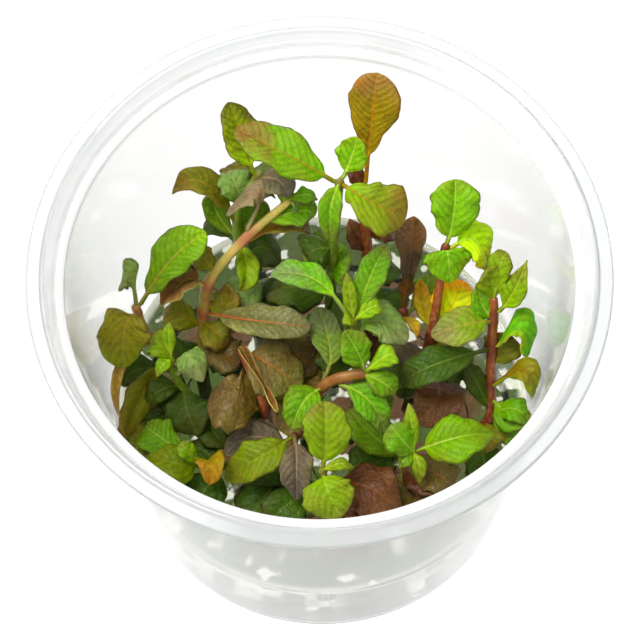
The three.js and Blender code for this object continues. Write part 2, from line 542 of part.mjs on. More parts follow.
// A leaf: a diamond section that follows the midrib, thin at its edges. A flat small leaf has
// a flat top and only a keel under its midrib.
function leafGeometry(leaf, start, stations) {
  const keeled = stations !== LEAF_STATIONS && !leaf.fold;
  const form = FORMS[leaf.form];
  const tip = vector(leaf.tip);
  const via = vector(leaf.via);
  const bend = via.clone().multiplyScalar(2).sub(start.clone().add(tip).multiplyScalar(0.5));
  const midrib = new THREE.QuadraticBezierCurve3(start, bend, tip);
  const roll = THREE.MathUtils.degToRad(leaf.roll ?? 0);
  const fold = THREE.MathUtils.degToRad(leaf.fold ?? 0);
  const chord = tip.clone().sub(start).normalize();
  const across = chord.clone().cross(UP).normalize().applyAxisAngle(chord, roll);
  const rings = stations.map((along) => {
    const centre = midrib.getPoint(along);
    const tangent = midrib.getTangent(along);
    const side = across.clone().addScaledVector(tangent, -across.dot(tangent)).normalize();
    const face = side.clone().cross(tangent).normalize();
    const petiole = PETIOLE_RADIUS * (1 - PETIOLE_TAPER * along);
    const half = Math.max((leaf.width / 2) * bladeOutline(form, along), petiole);
    const thick = THREE.MathUtils.lerp(PETIOLE_RADIUS, EDGE_THICKNESS, Math.min(along * 2, 1));
    const reach = half * Math.cos(fold);
    const lift = half > PETIOLE_RADIUS ? half * Math.sin(fold) : 0;
    const ring = [
      centre.clone().addScaledVector(side, -reach).addScaledVector(face, lift),
      centre.clone().addScaledVector(face, thick),
      centre.clone().addScaledVector(side, reach).addScaledVector(face, lift),
      centre.clone().addScaledVector(face, -thick),
    ];
    if (keeled) ring.splice(1, 1);
    return ring;
  });
  return loft(rings, keeled ? KEELED_MIRRORED : BLADE_MIRRORED);
}

// A leaf of its own starts just off the stem's skin; a small one starts inside the stem
function leafStart(shoot, leaf, gap) {
  const curve = stemCurve(shoot);
  const along = alongAtHeight(curve, leaf.from);
  const centre = curve.getPoint(along);
  const tangent = curve.getTangent(along);
  const out = vector(leaf.via).sub(centre);
  out.addScaledVector(tangent, -out.dot(tangent) * 0.7).normalize();
  return centre.addScaledVector(out, gap === null ? 0 : stemRadius(shoot, along) + gap);
}

function toSolid(geometry) {
  const bare = geometry.clone();
  bare.deleteAttribute("normal");
  bare.deleteAttribute("uv");
  const merged = mergeVertices(bare, 1e-4);
  const vertProperties = new Float32Array(merged.attributes.position.array);
  const triVerts = new Uint32Array(merged.index.array);
  return new wasm.Manifold(new wasm.Mesh({ numProp: 3, vertProperties, triVerts }));
}

function toGeometry(solid) {
  const mesh = solid.simplify(FUSE_TOLERANCE).getMesh();
  const geometry = new THREE.BufferGeometry();
  geometry.setAttribute("position", new THREE.BufferAttribute(mesh.vertProperties, 3));
  geometry.setIndex(new THREE.BufferAttribute(mesh.triVerts, 1));
  return geometry;
}

function turned(profile, sides) {
  const points = profile.map(([radius, height]) => new THREE.Vector2(radius, height));
  return new THREE.LatheGeometry(points, sides).rotateX(Math.PI / 2);
}

// The cup: foot ring, tapering wall, lid seat, bead and flat flange, in one moulding
function cupGeometry() {
  const wallTop = SEAT_HEIGHT - 0.8;
  const flangeTop = CUP_HEIGHT - 0.4;
  const flangeUnder = flangeTop - FLANGE_THICKNESS;
  const profile = [
    [0, FOOT_RECESS],
    [FOOT_RING[0] - FOOT_RECESS, FOOT_RECESS],
    [FOOT_RING[0], 0],
    [FOOT_RING[1], 0],
    [FOOT_RADIUS - 0.8, 0.8],
    [FOOT_RADIUS, 2.6],
    [MOUTH_RADIUS + WALL, wallTop],
    [SEAT_RADIUS - 0.7, wallTop + 0.7],
    [SEAT_RADIUS + 0.8, flangeUnder],
    [RIM_RADIUS - 0.5, flangeUnder],
    [RIM_RADIUS, flangeUnder + 0.5],
    [RIM_RADIUS - 0.2, flangeTop],
    [SEAT_RADIUS + 0.9, flangeTop],
    [SEAT_RADIUS + 0.6, CUP_HEIGHT],
    [SEAT_RADIUS, CUP_HEIGHT],
    [SEAT_RADIUS - 1.7, SEAT_HEIGHT + 0.6],
    [MOUTH_RADIUS, SEAT_HEIGHT],
    [FLOOR_RADIUS, FLOOR_TOP + 1.5],
    [FLOOR_RADIUS - 1.3, FLOOR_TOP],
    [0, FLOOR_TOP],
  ];
  return turned(profile, CUP_SIDES);
}

// Inside radius of the wall at a height
function wallRadius(height) {
  const rise = (height - FLOOR_TOP - 1.5) / (SEAT_HEIGHT - FLOOR_TOP - 1.5);
  return THREE.MathUtils.lerp(FLOOR_RADIUS, MOUTH_RADIUS, rise);
}

// The gel fills the cup's bottom and stands clear of the wall and of every stem in it
function gelGeometry() {
  const bottom = FLOOR_TOP + CLEARANCE;
  const shoulder = FLOOR_TOP + 1.9;
  const gap = 0.45;
  const profile = [
    [0, bottom],
    [FLOOR_RADIUS - 1.3 - gap, bottom],
    [wallRadius(shoulder) - gap, shoulder],
    [wallRadius(GEL_TOP) - gap, GEL_TOP],
    [0, GEL_TOP],
  ];
  let gel = toSolid(turned(profile, GEL_SIDES));
  for (const shoot of SHOOTS) {
    gel = gel.subtract(toSolid(stemGeometry(shoot, CLEARANCE + 0.1)));
  }
  return toGeometry(gel);
}

function shootGeometry(shoot) {
  let solid = toSolid(stemGeometry(shoot));
  for (const leaf of shoot.small) {
    const start = leafStart(shoot, leaf, null);
    const stations = leaf.width < BRACT_WIDTH ? BRACT_STATIONS : SMALL_LEAF_STATIONS;
    solid = solid.add(toSolid(leafGeometry(leaf, start, stations)));
  }
  return toGeometry(solid);
}

function named(name, geometry, material) {
  geometry.computeVertexNormals();
  const mesh = new THREE.Mesh(geometry, material);
  mesh.name = name;
  return mesh;
}

const group = new THREE.Group();
group.add(named("cup", cupGeometry(), finish(COLOURS.cup, 0.15)));
group.add(named("nutrient_gel", gelGeometry(), finish(COLOURS.gel, 0.1)));
for (const shoot of SHOOTS) {
  group.add(named(shoot.stem, shootGeometry(shoot), finish(COLOURS.stem)));
  for (const leaf of shoot.leaves) {
    const start = leafStart(shoot, leaf, CLEARANCE + 0.2);
    const geometry = leafGeometry(leaf, start, LEAF_STATIONS);
    group.add(named(leaf.name, geometry, finish(COLOURS[leaf.tone])));
  }
}

export default group;
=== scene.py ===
"""Looks for brown hygrophila grown in vitro: sixteen leafy shoots in a clear cup of nutrient gel.

The sizes of the shoots are in millimetres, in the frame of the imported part: +Z up, the origin at
the middle of the cup's foot, the front of the cup towards -Y. They become metres in the meshes.
"""

import logging
import math
from dataclasses import dataclass, field
from enum import Enum

import bpy
import numpy as np
from mathutils import Matrix, Vector


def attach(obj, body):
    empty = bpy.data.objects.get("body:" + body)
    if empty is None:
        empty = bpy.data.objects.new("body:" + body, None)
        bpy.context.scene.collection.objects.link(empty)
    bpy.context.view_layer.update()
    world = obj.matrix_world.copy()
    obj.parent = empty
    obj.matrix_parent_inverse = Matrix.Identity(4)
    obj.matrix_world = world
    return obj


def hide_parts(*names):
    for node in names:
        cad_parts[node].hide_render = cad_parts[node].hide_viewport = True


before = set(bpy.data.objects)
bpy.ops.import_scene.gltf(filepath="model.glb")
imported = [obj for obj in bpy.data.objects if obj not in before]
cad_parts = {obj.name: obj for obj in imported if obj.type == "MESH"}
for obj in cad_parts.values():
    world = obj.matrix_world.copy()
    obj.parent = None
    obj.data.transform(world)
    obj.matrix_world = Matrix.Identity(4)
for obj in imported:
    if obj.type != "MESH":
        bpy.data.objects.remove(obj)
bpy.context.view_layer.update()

log = logging.getLogger("hygrophila")

Point = tuple[float, float, float]
Span = tuple[float, float]

MM = 0.001
BODY = "root"
SEED = 20
UP = np.array((0.0, 0.0, 1.0))

# The photograph's viewing angle, worked out from the ellipses of the rim and of the foot
CAMERA_RISE = 65.3
CAMERA_TURN = -1.28
CAMERA_DISTANCE = 618.1
CAMERA_AIM = (-0.07, 0.0, 60.1)
CAMERA_LENS = 199.2

PETIOLE_RADIUS = 0.42
BLADE_THICKNESS = 0.34
VEIN_SPACING = 1.75
NODE_LENGTH = 1.1
SEAM_GAP = 0.001
CORNER_ANGLE = 12
SHARP_ANGLE = 30
WIDE_FACES_WEIGHT = 100
TRIM_PLACES = (0.25, 0.5, 0.75, 0.93)
# Waves along a leaf's edge: how many, how high, and which draws start them, right and left
EDGE_WAVES = ((1.2, 0.07, 0, 1), (3.6, 0.045, 2, 3), (9, 0.012, 1, 2))

STEP = {"interpolation_type": "SMOOTHSTEP"}
OVER = "MIX"
DARKEN = "MULTIPLY"


def linear(colour: str) -> tuple[float, float, float, float]:
    """Turns an sRGB hex colour into linear light.

    Args:
        colour: six hex digits after a hash sign.

    Returns:
        Red, green, blue and an opaque alpha.
    """
    channels = [int(colour[start:start + 2], 16) / 255 for start in (1, 3, 5)]
    curved = [c / 12.92 if c <= 0.04045 else ((c + 0.055) / 1.055) ** 2.4 for c in channels]
    return (*curved, 1.0)


def per_mm(size: float) -> float:
    """Gives the texture scale whose features are about this many millimetres across."""
    return 1 / (size * MM)


def in_metres(span: Span) -> Span:
    """Turns a span of millimetres into metres, for a node."""
    return (span[0] * MM, span[1] * MM)


def add_node(
    tree: bpy.types.NodeTree,
    kind: str,
    *values: object,
    named: dict[str | int, object] | None = None,
    **settings: object,
) -> bpy.types.Node:
    """Adds a node with its settings, values and links.

    Args:
        tree: the node tree.
        kind: the node's type, as it follows "ShaderNode".
        values: for each input in order, a value, the output that feeds it, or a node, which
            stands for its first output.
        named: the same for inputs that are given by name or number.
        settings: values of the node's own properties.

    Returns:
        The new node.
    """
    node = tree.nodes.new("ShaderNode" + kind)
    for key, value in settings.items():
        setattr(node, key, value)
    for key, value in {**dict(enumerate(values)), **(named or {})}.items():
        source = value.outputs[0] if isinstance(value, bpy.types.Node) else value
        if isinstance(source, bpy.types.NodeSocket):
            tree.links.new(source, node.inputs[key])
        else:
            node.inputs[key].default_value = source
    return node


def new_material(
    name: str,
) -> tuple[bpy.types.Material, bpy.types.NodeTree, bpy.types.NodeSocket]:
    """Starts an empty material.

    Args:
        name: the material's name.

    Returns:
        The material, its node tree and its object coordinates.
    """
    material = bpy.data.materials.new(name)
    material.use_nodes = True
    tree = material.node_tree
    tree.nodes.clear()
    return material, tree, add_node(tree, "TexCoord").outputs["Object"]


def parts_of(tree: bpy.types.NodeTree, name: str) -> tuple[bpy.types.NodeSocket, ...]:
    """Reads one of the named vectors that a mesh carries for its material.

    Args:
        tree: the node tree.
        name: the vector's name.

    Returns:
        Its three parts.
    """
    vector = add_node(tree, "Attribute", attribute_name=name).outputs["Vector"]
    return tuple(add_node(tree, "SeparateXYZ", vector).outputs)


def coated(
    tree: bpy.types.NodeTree,
    under: object,
    *coats: tuple[object, object, str],
) -> bpy.types.NodeSocket:
    """Lays coats of colour over a colour, one after another.

    Args:
        tree: the node tree.
        under: the colour under them, in hex, or the output that gives it.
        coats: for each coat, how much of it shows, its hex colour or the output that gives it,
            and whether it lies over the colour or darkens it.

    Returns:
        The coated colour.
    """
    colour = linear(under) if isinstance(under, str) else under
    for amount, coat, way in coats:
        shade = linear(coat) if isinstance(coat, str) else coat
        layers = {0: amount, 6: colour, 7: shade}
        colour = add_node(tree, "Mix", named=layers, data_type="RGBA", blend_type=way).outputs[2]
    return colour


def surfaced(
    tree: bpy.types.NodeTree,
    skin: dict[str, object],
    through: dict[str, object] | None = None,
    share: float = 0.0,
) -> None:
    """Gives a material its surface.

    Args:
        tree: the node tree.
        skin: the inputs of the surface.
        through: for thin tissue, the inputs of the light that passes through it.
        share: how much of the light passes through.
    """
    shader = add_node(tree, "BsdfPrincipled", named=skin)
    if through:
        light = add_node(tree, "BsdfTranslucent", named=through)
        shader = add_node(tree, "MixShader", share, shader, light)
    add_node(tree, "OutputMaterial", shader)


@dataclass(frozen=True)
class LeafFinish:
    """A living leaf blade: waxy, slightly see-through tissue with paler veins.

    The colours run from the base of the blade through its middle to its tip. Mottles, the painted
    shade in the hollows beside the veins and the light that passes through are tinted alike on
    every leaf.
    The grain of its skin stands for cells too fine to show, so it is drawn coarser than they are.
    """

    title: str
    base: str
    middle: str
    tip: str
    vein: str
    rib: str
    rim: str
    under: str
    roughness: float = 0.4
    glow: float = 0.28
    vein_strength: float = 0.5
    rib_strength: float = 0.65
    mottle: float = 0.3
    blush: float = 0.5
    gloss: float = 0.3
    brightness: float = 1.35
    mottle_tint: str = "#8c8478"
    # Painted shade: the colour that darkens the hollows beside the veins
    hollow_shade_tint: str = "#8a9078"
    light_tint: str = "#a0d010"
    ior: float = 1.42
    patch_size: float = 4.5
    spot_size: float = 1.5
    grain_size: float = 0.6
    cell_size: float = 0.8
    relief_depth: float = 0.4

    def material(self) -> bpy.types.Material:
        """Builds the blade's material.

        Returns:
            The material.
        """
        material, tree, place = new_material(self.title)
        order, across, along = parts_of(tree, "veins")
        under, tint, from_rib = parts_of(tree, "blade")
        patches, spots, grain = (
            add_node(tree, "TexNoise", named={"Vector": place, "Scale": per_mm(size), "Detail": detail})
            for size, detail in ((self.patch_size, 2), (self.spot_size, 4), (self.grain_size, 3))
        )
        from_middle = add_node(tree, "Math", along, 0.35, operation="SUBTRACT")
        uneven = add_node(tree, "Math", patches, 0.7, from_middle, operation="MULTIPLY_ADD")
        spotted = add_node(tree, "MapRange", spots, 0.42, 0.7, **STEP)
        shade = add_node(tree, "Math", spotted, self.mottle, operation="MULTIPLY")
        patched = add_node(tree, "MapRange", patches, 0.48, 0.66, **STEP)
        outward = add_node(tree, "MapRange", across, 0.1, 1.0, **STEP)
        blotch = add_node(tree, "Math", patched, outward, operation="MULTIPLY")
        blotch = add_node(tree, "Math", blotch, self.blush, operation="MULTIPLY")

        past_vein = add_node(tree, "Math", order, operation="FRACT")
        past_vein = add_node(tree, "Math", past_vein, 0.5, operation="SUBTRACT")
        from_vein = add_node(tree, "Math", past_vein, operation="ABSOLUTE")
        # Painted shade: the hollows beside each side vein are darkened, as if the quilted blade shaded
        # them
        beside = add_node(tree, "MapRange", from_vein, 0.15, 0.46, **STEP)
        beside = add_node(tree, "Math", beside, 0.3, operation="MULTIPLY")
        cells = add_node(
            tree,
            "TexVoronoi",
            named={"Vector": place, "Scale": per_mm(self.cell_size)},
            feature="DISTANCE_TO_EDGE",
        ).outputs["Distance"]
        net = add_node(tree, "MapRange", cells, 0.0, 0.16, 0.2, 0.0, **STEP)
        side_vein = add_node(tree, "MapRange", from_vein, 0.43, 0.5, **STEP)
        broken = add_node(tree, "MapRange", spots, 0.3, 0.6, 0.5, 1.0, **STEP)
        faded = add_node(tree, "MapRange", across, 0.5, 0.95, 1.0, 0.1, **STEP)
        for part in (broken, faded, self.vein_strength):
            side_vein = add_node(tree, "Math", side_vein, part, operation="MULTIPLY")
        veined = add_node(tree, "Math", net, side_vein, operation="MAXIMUM")

        from_edge = add_node(tree, "Math", across, 0.01, operation="MAXIMUM")
        from_edge = add_node(tree, "Math", from_rib, from_edge, operation="DIVIDE")
        from_edge = add_node(tree, "Math", from_edge, from_rib, operation="SUBTRACT")
        rimmed = add_node(tree, "MapRange", from_edge, 0.06, 0.3, 0.8, 0.0, **STEP)
        rib_width = add_node(tree, "MapRange", along, 0.1, 1.0, 0.25, 0.07, **STEP)
        beside_rib = add_node(tree, "Math", from_rib, rib_width, operation="DIVIDE")
        rib = add_node(tree, "MapRange", beside_rib, 0.4, 1.1, self.rib_strength, 0.0, **STEP)
        below = add_node(tree, "MapRange", rib, 0.0, 1.0, 0.7, 0.2, **STEP)
        below = add_node(tree, "Math", under, below, operation="MULTIPLY")
        colour = coated(
            tree,
            self.base,
            (add_node(tree, "MapRange", uneven, 0.05, 0.4, **STEP), self.middle, OVER),
            (add_node(tree, "MapRange", uneven, 0.55, 0.95, **STEP), self.tip, OVER),
            (shade, self.mottle_tint, DARKEN),
            (blotch, self.rim, OVER),
            # Painted shade in the hollows beside the veins
            (beside, self.hollow_shade_tint, DARKEN),
            (veined, self.vein, OVER),
            (rimmed, self.rim, OVER),
            (rib, self.rib, OVER),
            (below, self.under, OVER),
        )
        bright = add_node(tree, "Math", tint, 0.2, self.brightness, operation="MULTIPLY_ADD")
        hue = add_node(tree, "Math", tint, 0.012, 0.495, operation="MULTIPLY_ADD")
        toned = {"Hue": hue, "Saturation": 1.05, "Value": bright, "Color": colour}
        colour = add_node(tree, "HueSaturation", named=toned).outputs[0]

        height = add_node(tree, "Math", grain, 0.4, operation="MULTIPLY")
        height = add_node(tree, "Math", spots, 1.6, height, operation="MULTIPLY_ADD")
        height = add_node(tree, "Math", veined, -0.8, height, operation="MULTIPLY_ADD")
        relief = {"Strength": 0.7, "Distance": self.relief_depth * MM, "Height": height}
        bump = add_node(tree, "Bump", named=relief)
        dullest, glossiest = self.roughness + 0.1, self.roughness - 0.08
        rough = add_node(tree, "MapRange", patches, 0.35, 0.65, glossiest, dullest, **STEP)
        rough = add_node(tree, "Math", under, 0.15, rough, operation="MULTIPLY_ADD")
        skin = {
            "Base Color": colour,
            "Roughness": rough,
            "IOR": self.ior,
            "Specular IOR Level": self.gloss,
            "Normal": bump,
        }
        lit = coated(tree, colour, (0.35, self.light_tint, OVER))
        surfaced(tree, skin, {"Color": lit, "Normal": bump}, self.glow)
        return material


@dataclass(frozen=True)
class StemFinish:
    """A fleshy green stem, flushed with red and straw colours where light reaches it."""

    title: str
    low: str
    middle: str
    high: str
    node: str
    streak: str
    ior: float = 1.42
    glow: float = 0.15
    streak_size: float = 0.5
    streak_stretch: float = 0.16
    streak_depth: float = 0.12
    patch_size: float = 3.0

    def material(self) -> bpy.types.Material:
        """Builds the stem's material.

        Returns:
            The material.
        """
        material, tree, place = new_material(self.title)
        along, ring, turn = parts_of(tree, "bark")
        stretch = (1, 1, self.streak_stretch)
        long_way = add_node(tree, "Mapping", named={"Vector": place, "Scale": stretch})
        streaks, patches = (
            add_node(tree, "TexNoise", named={"Vector": way, "Scale": per_mm(size), "Detail": detail})
            for way, size, detail in ((long_way, self.streak_size, 3), (place, self.patch_size, 2))
        )
        from_foot = add_node(tree, "Math", along, 0.15, operation="SUBTRACT")
        uneven = add_node(tree, "Math", patches, 0.3, from_foot, operation="MULTIPLY_ADD")
        flush = add_node(tree, "MapRange", turn, 0.0, 0.9, **STEP)
        colour = coated(
            tree,
            self.low,
            (add_node(tree, "MapRange", uneven, 0.3, 0.6, **STEP), self.middle, OVER),
            (add_node(tree, "MapRange", uneven, 0.65, 0.98, **STEP), self.high, OVER),
            (add_node(tree, "MapRange", streaks, 0.45, 0.65, 0.0, 0.8, **STEP), self.streak, OVER),
            (add_node(tree, "Math", flush, 0.3, operation="MULTIPLY"), self.node, OVER),
            (add_node(tree, "Math", ring, 0.75, operation="MULTIPLY"), self.node, OVER),
        )
        relief = {"Strength": 0.3, "Distance": self.streak_depth * MM, "Height": streaks}
        skin = {
            "Base Color": colour,
            "Roughness": add_node(tree, "MapRange", streaks, 0.3, 0.7, 0.28, 0.42, **STEP),
            "IOR": self.ior,
            "Normal": add_node(tree, "Bump", named=relief),
        }
        surfaced(tree, skin, {"Color": colour}, self.glow)
        return material


@dataclass(frozen=True)
class CupFinish:
    """Clear polypropylene, injection moulded: see-through with a milky cast and a soft gloss.

    The plastic is milkier at the lid's seat, most of all at the mouth, where the wall is seen
    along its length, and a little on the flange. Condensation dulls the wall towards its top.
    Each span gives the heights in millimetres between which one look passes into the next.
    """

    tint: str = "#fefefe"
    flange_tint: str = "#e8eaea"
    haze: float = 0.03
    seat_haze: float = 0.24
    mouth_haze: float = 0.38
    flange_haze: float = 0.06
    ior: float = 1.49
    wall_to_seat: Span = (74.0, 76.5)
    wall_to_mouth: Span = (75.4, 75.9)
    mouth_to_seat: Span = (76.7, 77.1)
    seat_to_flange: Span = (78.1, 78.4)
    breath: Span = (35.0, 60.0)
    dulling: Span = (0.045, 0.09)
    drift_size: float = 9.0
    ripple_size: float = 0.8
    ripple_depth: float = 0.1

    def material(self) -> bpy.types.Material:
        """Builds the cup's material.

        Returns:
            The material.
        """
        material, tree, place = new_material("clear_polypropylene")
        height = add_node(tree, "SeparateXYZ", place).outputs[2]
        clear, to_mouth, from_mouth, on_flange, fog = (
            add_node(tree, "MapRange", height, *in_metres(span), *ends, **STEP)
            for span, ends in (
                (self.wall_to_seat, (1 - self.haze, 1 - self.seat_haze)),
                (self.wall_to_mouth, (0.0, self.mouth_haze)),
                (self.mouth_to_seat, (1.0, 0.0)),
                (self.seat_to_flange, (0.0, 1.0)),
                (self.breath, self.dulling),
            )
        )
        mouth = add_node(tree, "Math", to_mouth, from_mouth, operation="MULTIPLY")
        flange = add_node(tree, "Math", on_flange, self.flange_haze, operation="MULTIPLY")
        milky = add_node(tree, "Math", mouth, flange, operation="ADD")
        clear = add_node(tree, "Math", clear, milky, operation="SUBTRACT")
        drifts, fine = (
            add_node(tree, "TexNoise", named={"Vector": place, "Scale": per_mm(size), "Detail": detail})
            for size, detail in ((self.drift_size, 3), (self.ripple_size, 2))
        )
        drifts = add_node(tree, "MapRange", drifts, 0.3, 0.7, 0.8, 1.3, **STEP)
        relief = {"Strength": 0.006, "Distance": self.ripple_depth * MM, "Height": fine}
        skin = {
            "Base Color": coated(tree, self.tint, (on_flange, self.flange_tint, OVER)),
            "Roughness": add_node(tree, "Math", fog, drifts, operation="MULTIPLY"),
            "IOR": self.ior,
            "Transmission Weight": clear,
            "Normal": add_node(tree, "Bump", named=relief),
        }
        surfaced(tree, skin)
        return material


@dataclass(frozen=True)
class GelFinish:
    """Nutrient gel set with gellan: clear, wet and faintly cream, with a smooth poured top.

    Dark patches are painted on it for old leaves and stems held in the gel together with the deep
    shade among the plants: on its top under the plants, and as blurred bands at its side, where
    the plants' shade shows through the wall. The oldest, in the middle, are brown. Spans are radii
    or heights in millimetres over which a pattern comes in or ends.
    """

    tint: str = "#eef0dc"
    # Painted shade: the dark green and brown of the patches that stand for old leaves held in the gel and
    # the shade among the plants
    sunk: str = "#1c2c08"
    sunk_old: str = "#2e1609"
    ior: float = 1.34
    clear: float = 0.96
    top: Span = (24.4, 24.9)
    wall_end: Span = (35.5, 37.0)
    band_start: Span = (6.0, 12.0)
    band_end: Span = (20.0, 23.0)
    band_strength: float = 0.75
    old_end: Span = (27.0, 31.0)
    litter_size: float = 5.0
    band_size: float = 11.0
    band_squash: float = 2.6
    old_size: float = 9.0
    ripple_size: float = 7.0
    ripple_depth: float = 0.5
    cloud_size: float = 5.0

    def material(self) -> bpy.types.Material:
        """Builds the gel's material.

        Returns:
            The material.
        """
        material, tree, place = new_material("set_nutrient_gel")
        axes = add_node(tree, "SeparateXYZ", place).outputs
        squares = (add_node(tree, "Math", axis, axis, operation="MULTIPLY") for axis in axes[:2])
        radius = add_node(tree, "Math", *squares, operation="ADD")
        radius = add_node(tree, "Math", radius, operation="SQRT")
        on_top, from_wall, over_low, under_high, in_middle = (
            add_node(tree, "MapRange", reach, *in_metres(span), *ends, **STEP)
            for reach, span, ends in (
                (axes[2], self.top, (0.0, 1.0)),
                (radius, self.wall_end, (1.0, 0.2)),
                (axes[2], self.band_start, (0.0, 1.0)),
                (axes[2], self.band_end, (1.0, 0.0)),
                (radius, self.old_end, (1.0, 0.0)),
            )
        )
        squash = (1, 1, self.band_squash)
        flat_way = add_node(tree, "Mapping", named={"Vector": place, "Scale": squash})
        litter_and_shade, bands, old_ones, ripple, cloud = (
            add_node(tree, "TexNoise", named={"Vector": way, "Scale": per_mm(size), "Detail": detail})
            for way, size, detail in (
                (place, self.litter_size, 2),
                (flat_way, self.band_size, 1),
                (place, self.old_size, 1),
                (place, self.ripple_size, 2),
                (place, self.cloud_size, 3),
            )
        )
        litter_and_shade = add_node(tree, "MapRange", litter_and_shade, 0.38, 0.43, **STEP)
        bands = add_node(tree, "MapRange", bands, 0.5, 0.55, **STEP)
        old_ones = add_node(tree, "MapRange", old_ones, 0.46, 0.52, **STEP)
        # Painted shade: dark patches on the gel's top under the plants, for old leaves held in the gel and
        # the deep shade among the plants
        inside = add_node(tree, "Math", on_top, from_wall, operation="MULTIPLY")
        inside = add_node(tree, "Math", inside, litter_and_shade, operation="MULTIPLY")
        # Painted shade: blurred dark bands low on the gel's side, where the plants' shade shows through
        # the wall
        at_side = add_node(tree, "Math", over_low, under_high, operation="MULTIPLY")
        at_side = add_node(tree, "Math", bands, at_side, operation="MULTIPLY")
        at_side = add_node(tree, "Math", at_side, self.band_strength, operation="MULTIPLY")
        dark = add_node(tree, "Math", inside, at_side, operation="MAXIMUM")
        # The painted dark patches turn brown in the middle, where the oldest leaves lie
        age = add_node(tree, "Math", old_ones, in_middle, operation="MULTIPLY")
        leaves = coated(tree, self.sunk, (age, self.sunk_old, OVER))
        relief = {"Strength": 0.1, "Distance": self.ripple_depth * MM, "Height": ripple}
        skin = {
            "Base Color": coated(tree, self.tint, (dark, leaves, OVER)),
            "Roughness": add_node(tree, "MapRange", cloud, 0.3, 0.7, 0.02, 0.06, **STEP),
            "IOR": self.ior,
            "Transmission Weight": self.clear,
            "Normal": add_node(tree, "Bump", named=relief),
        }
        surfaced(tree, skin)
        return material


@dataclass(frozen=True)
class RootFinish:
    """Fine young roots in the gel: whitish, moist and a little darker in patches."""

    tint: str = "#d9d2b4"
    patch: str = "#a88f5a"
    patch_size: float = 1.5
    roughness: float = 0.45
    ior: float = 1.4

    def material(self) -> bpy.types.Material:
        """Builds the roots' material.

        Returns:
            The material.
        """
        material, tree, place = new_material("young_root")
        patches = {"Vector": place, "Scale": per_mm(self.patch_size)}
        patches = add_node(tree, "TexNoise", named=patches)
        patches = add_node(tree, "MapRange", patches, 0.35, 0.7, 0.0, 0.7, **STEP)
        colour = coated(tree, self.tint, (patches, self.patch, OVER))
        surfaced(tree, {"Base Color": colour, "Roughness": self.roughness, "IOR": self.ior})
        return material


@dataclass(frozen=True)
class TableFinish:
    """Opal acrylic over lamps: an even white glow in which shadows hardly show.

    Its grain is too fine to show, so it is drawn coarser than it is.
    """

    dark: str = "#585856"
    pale: str = "#5c5c5a"
    roughness: float = 0.8
    gloss: float = 0.2
    glow: float = 1.06
    grain_size: float = 0.5

    def material(self) -> bpy.types.Material:
        """Builds the light table's material.

        Returns:
            The material.
        """
        material, tree, place = new_material("opal_acrylic")
        grain = add_node(tree, "TexNoise", named={"Vector": place, "Scale": per_mm(self.grain_size)})
        grain = add_node(tree, "MapRange", grain, 0.3, 0.7, **STEP)
        skin = {
            "Base Color": coated(tree, self.dark, (grain, self.pale, OVER)),
            "Roughness": self.roughness,
            "Specular IOR Level": self.gloss,
            "Emission Color": (1, 1, 1, 1),
            "Emission Strength": self.glow,
        }
        surfaced(tree, skin)
        return material


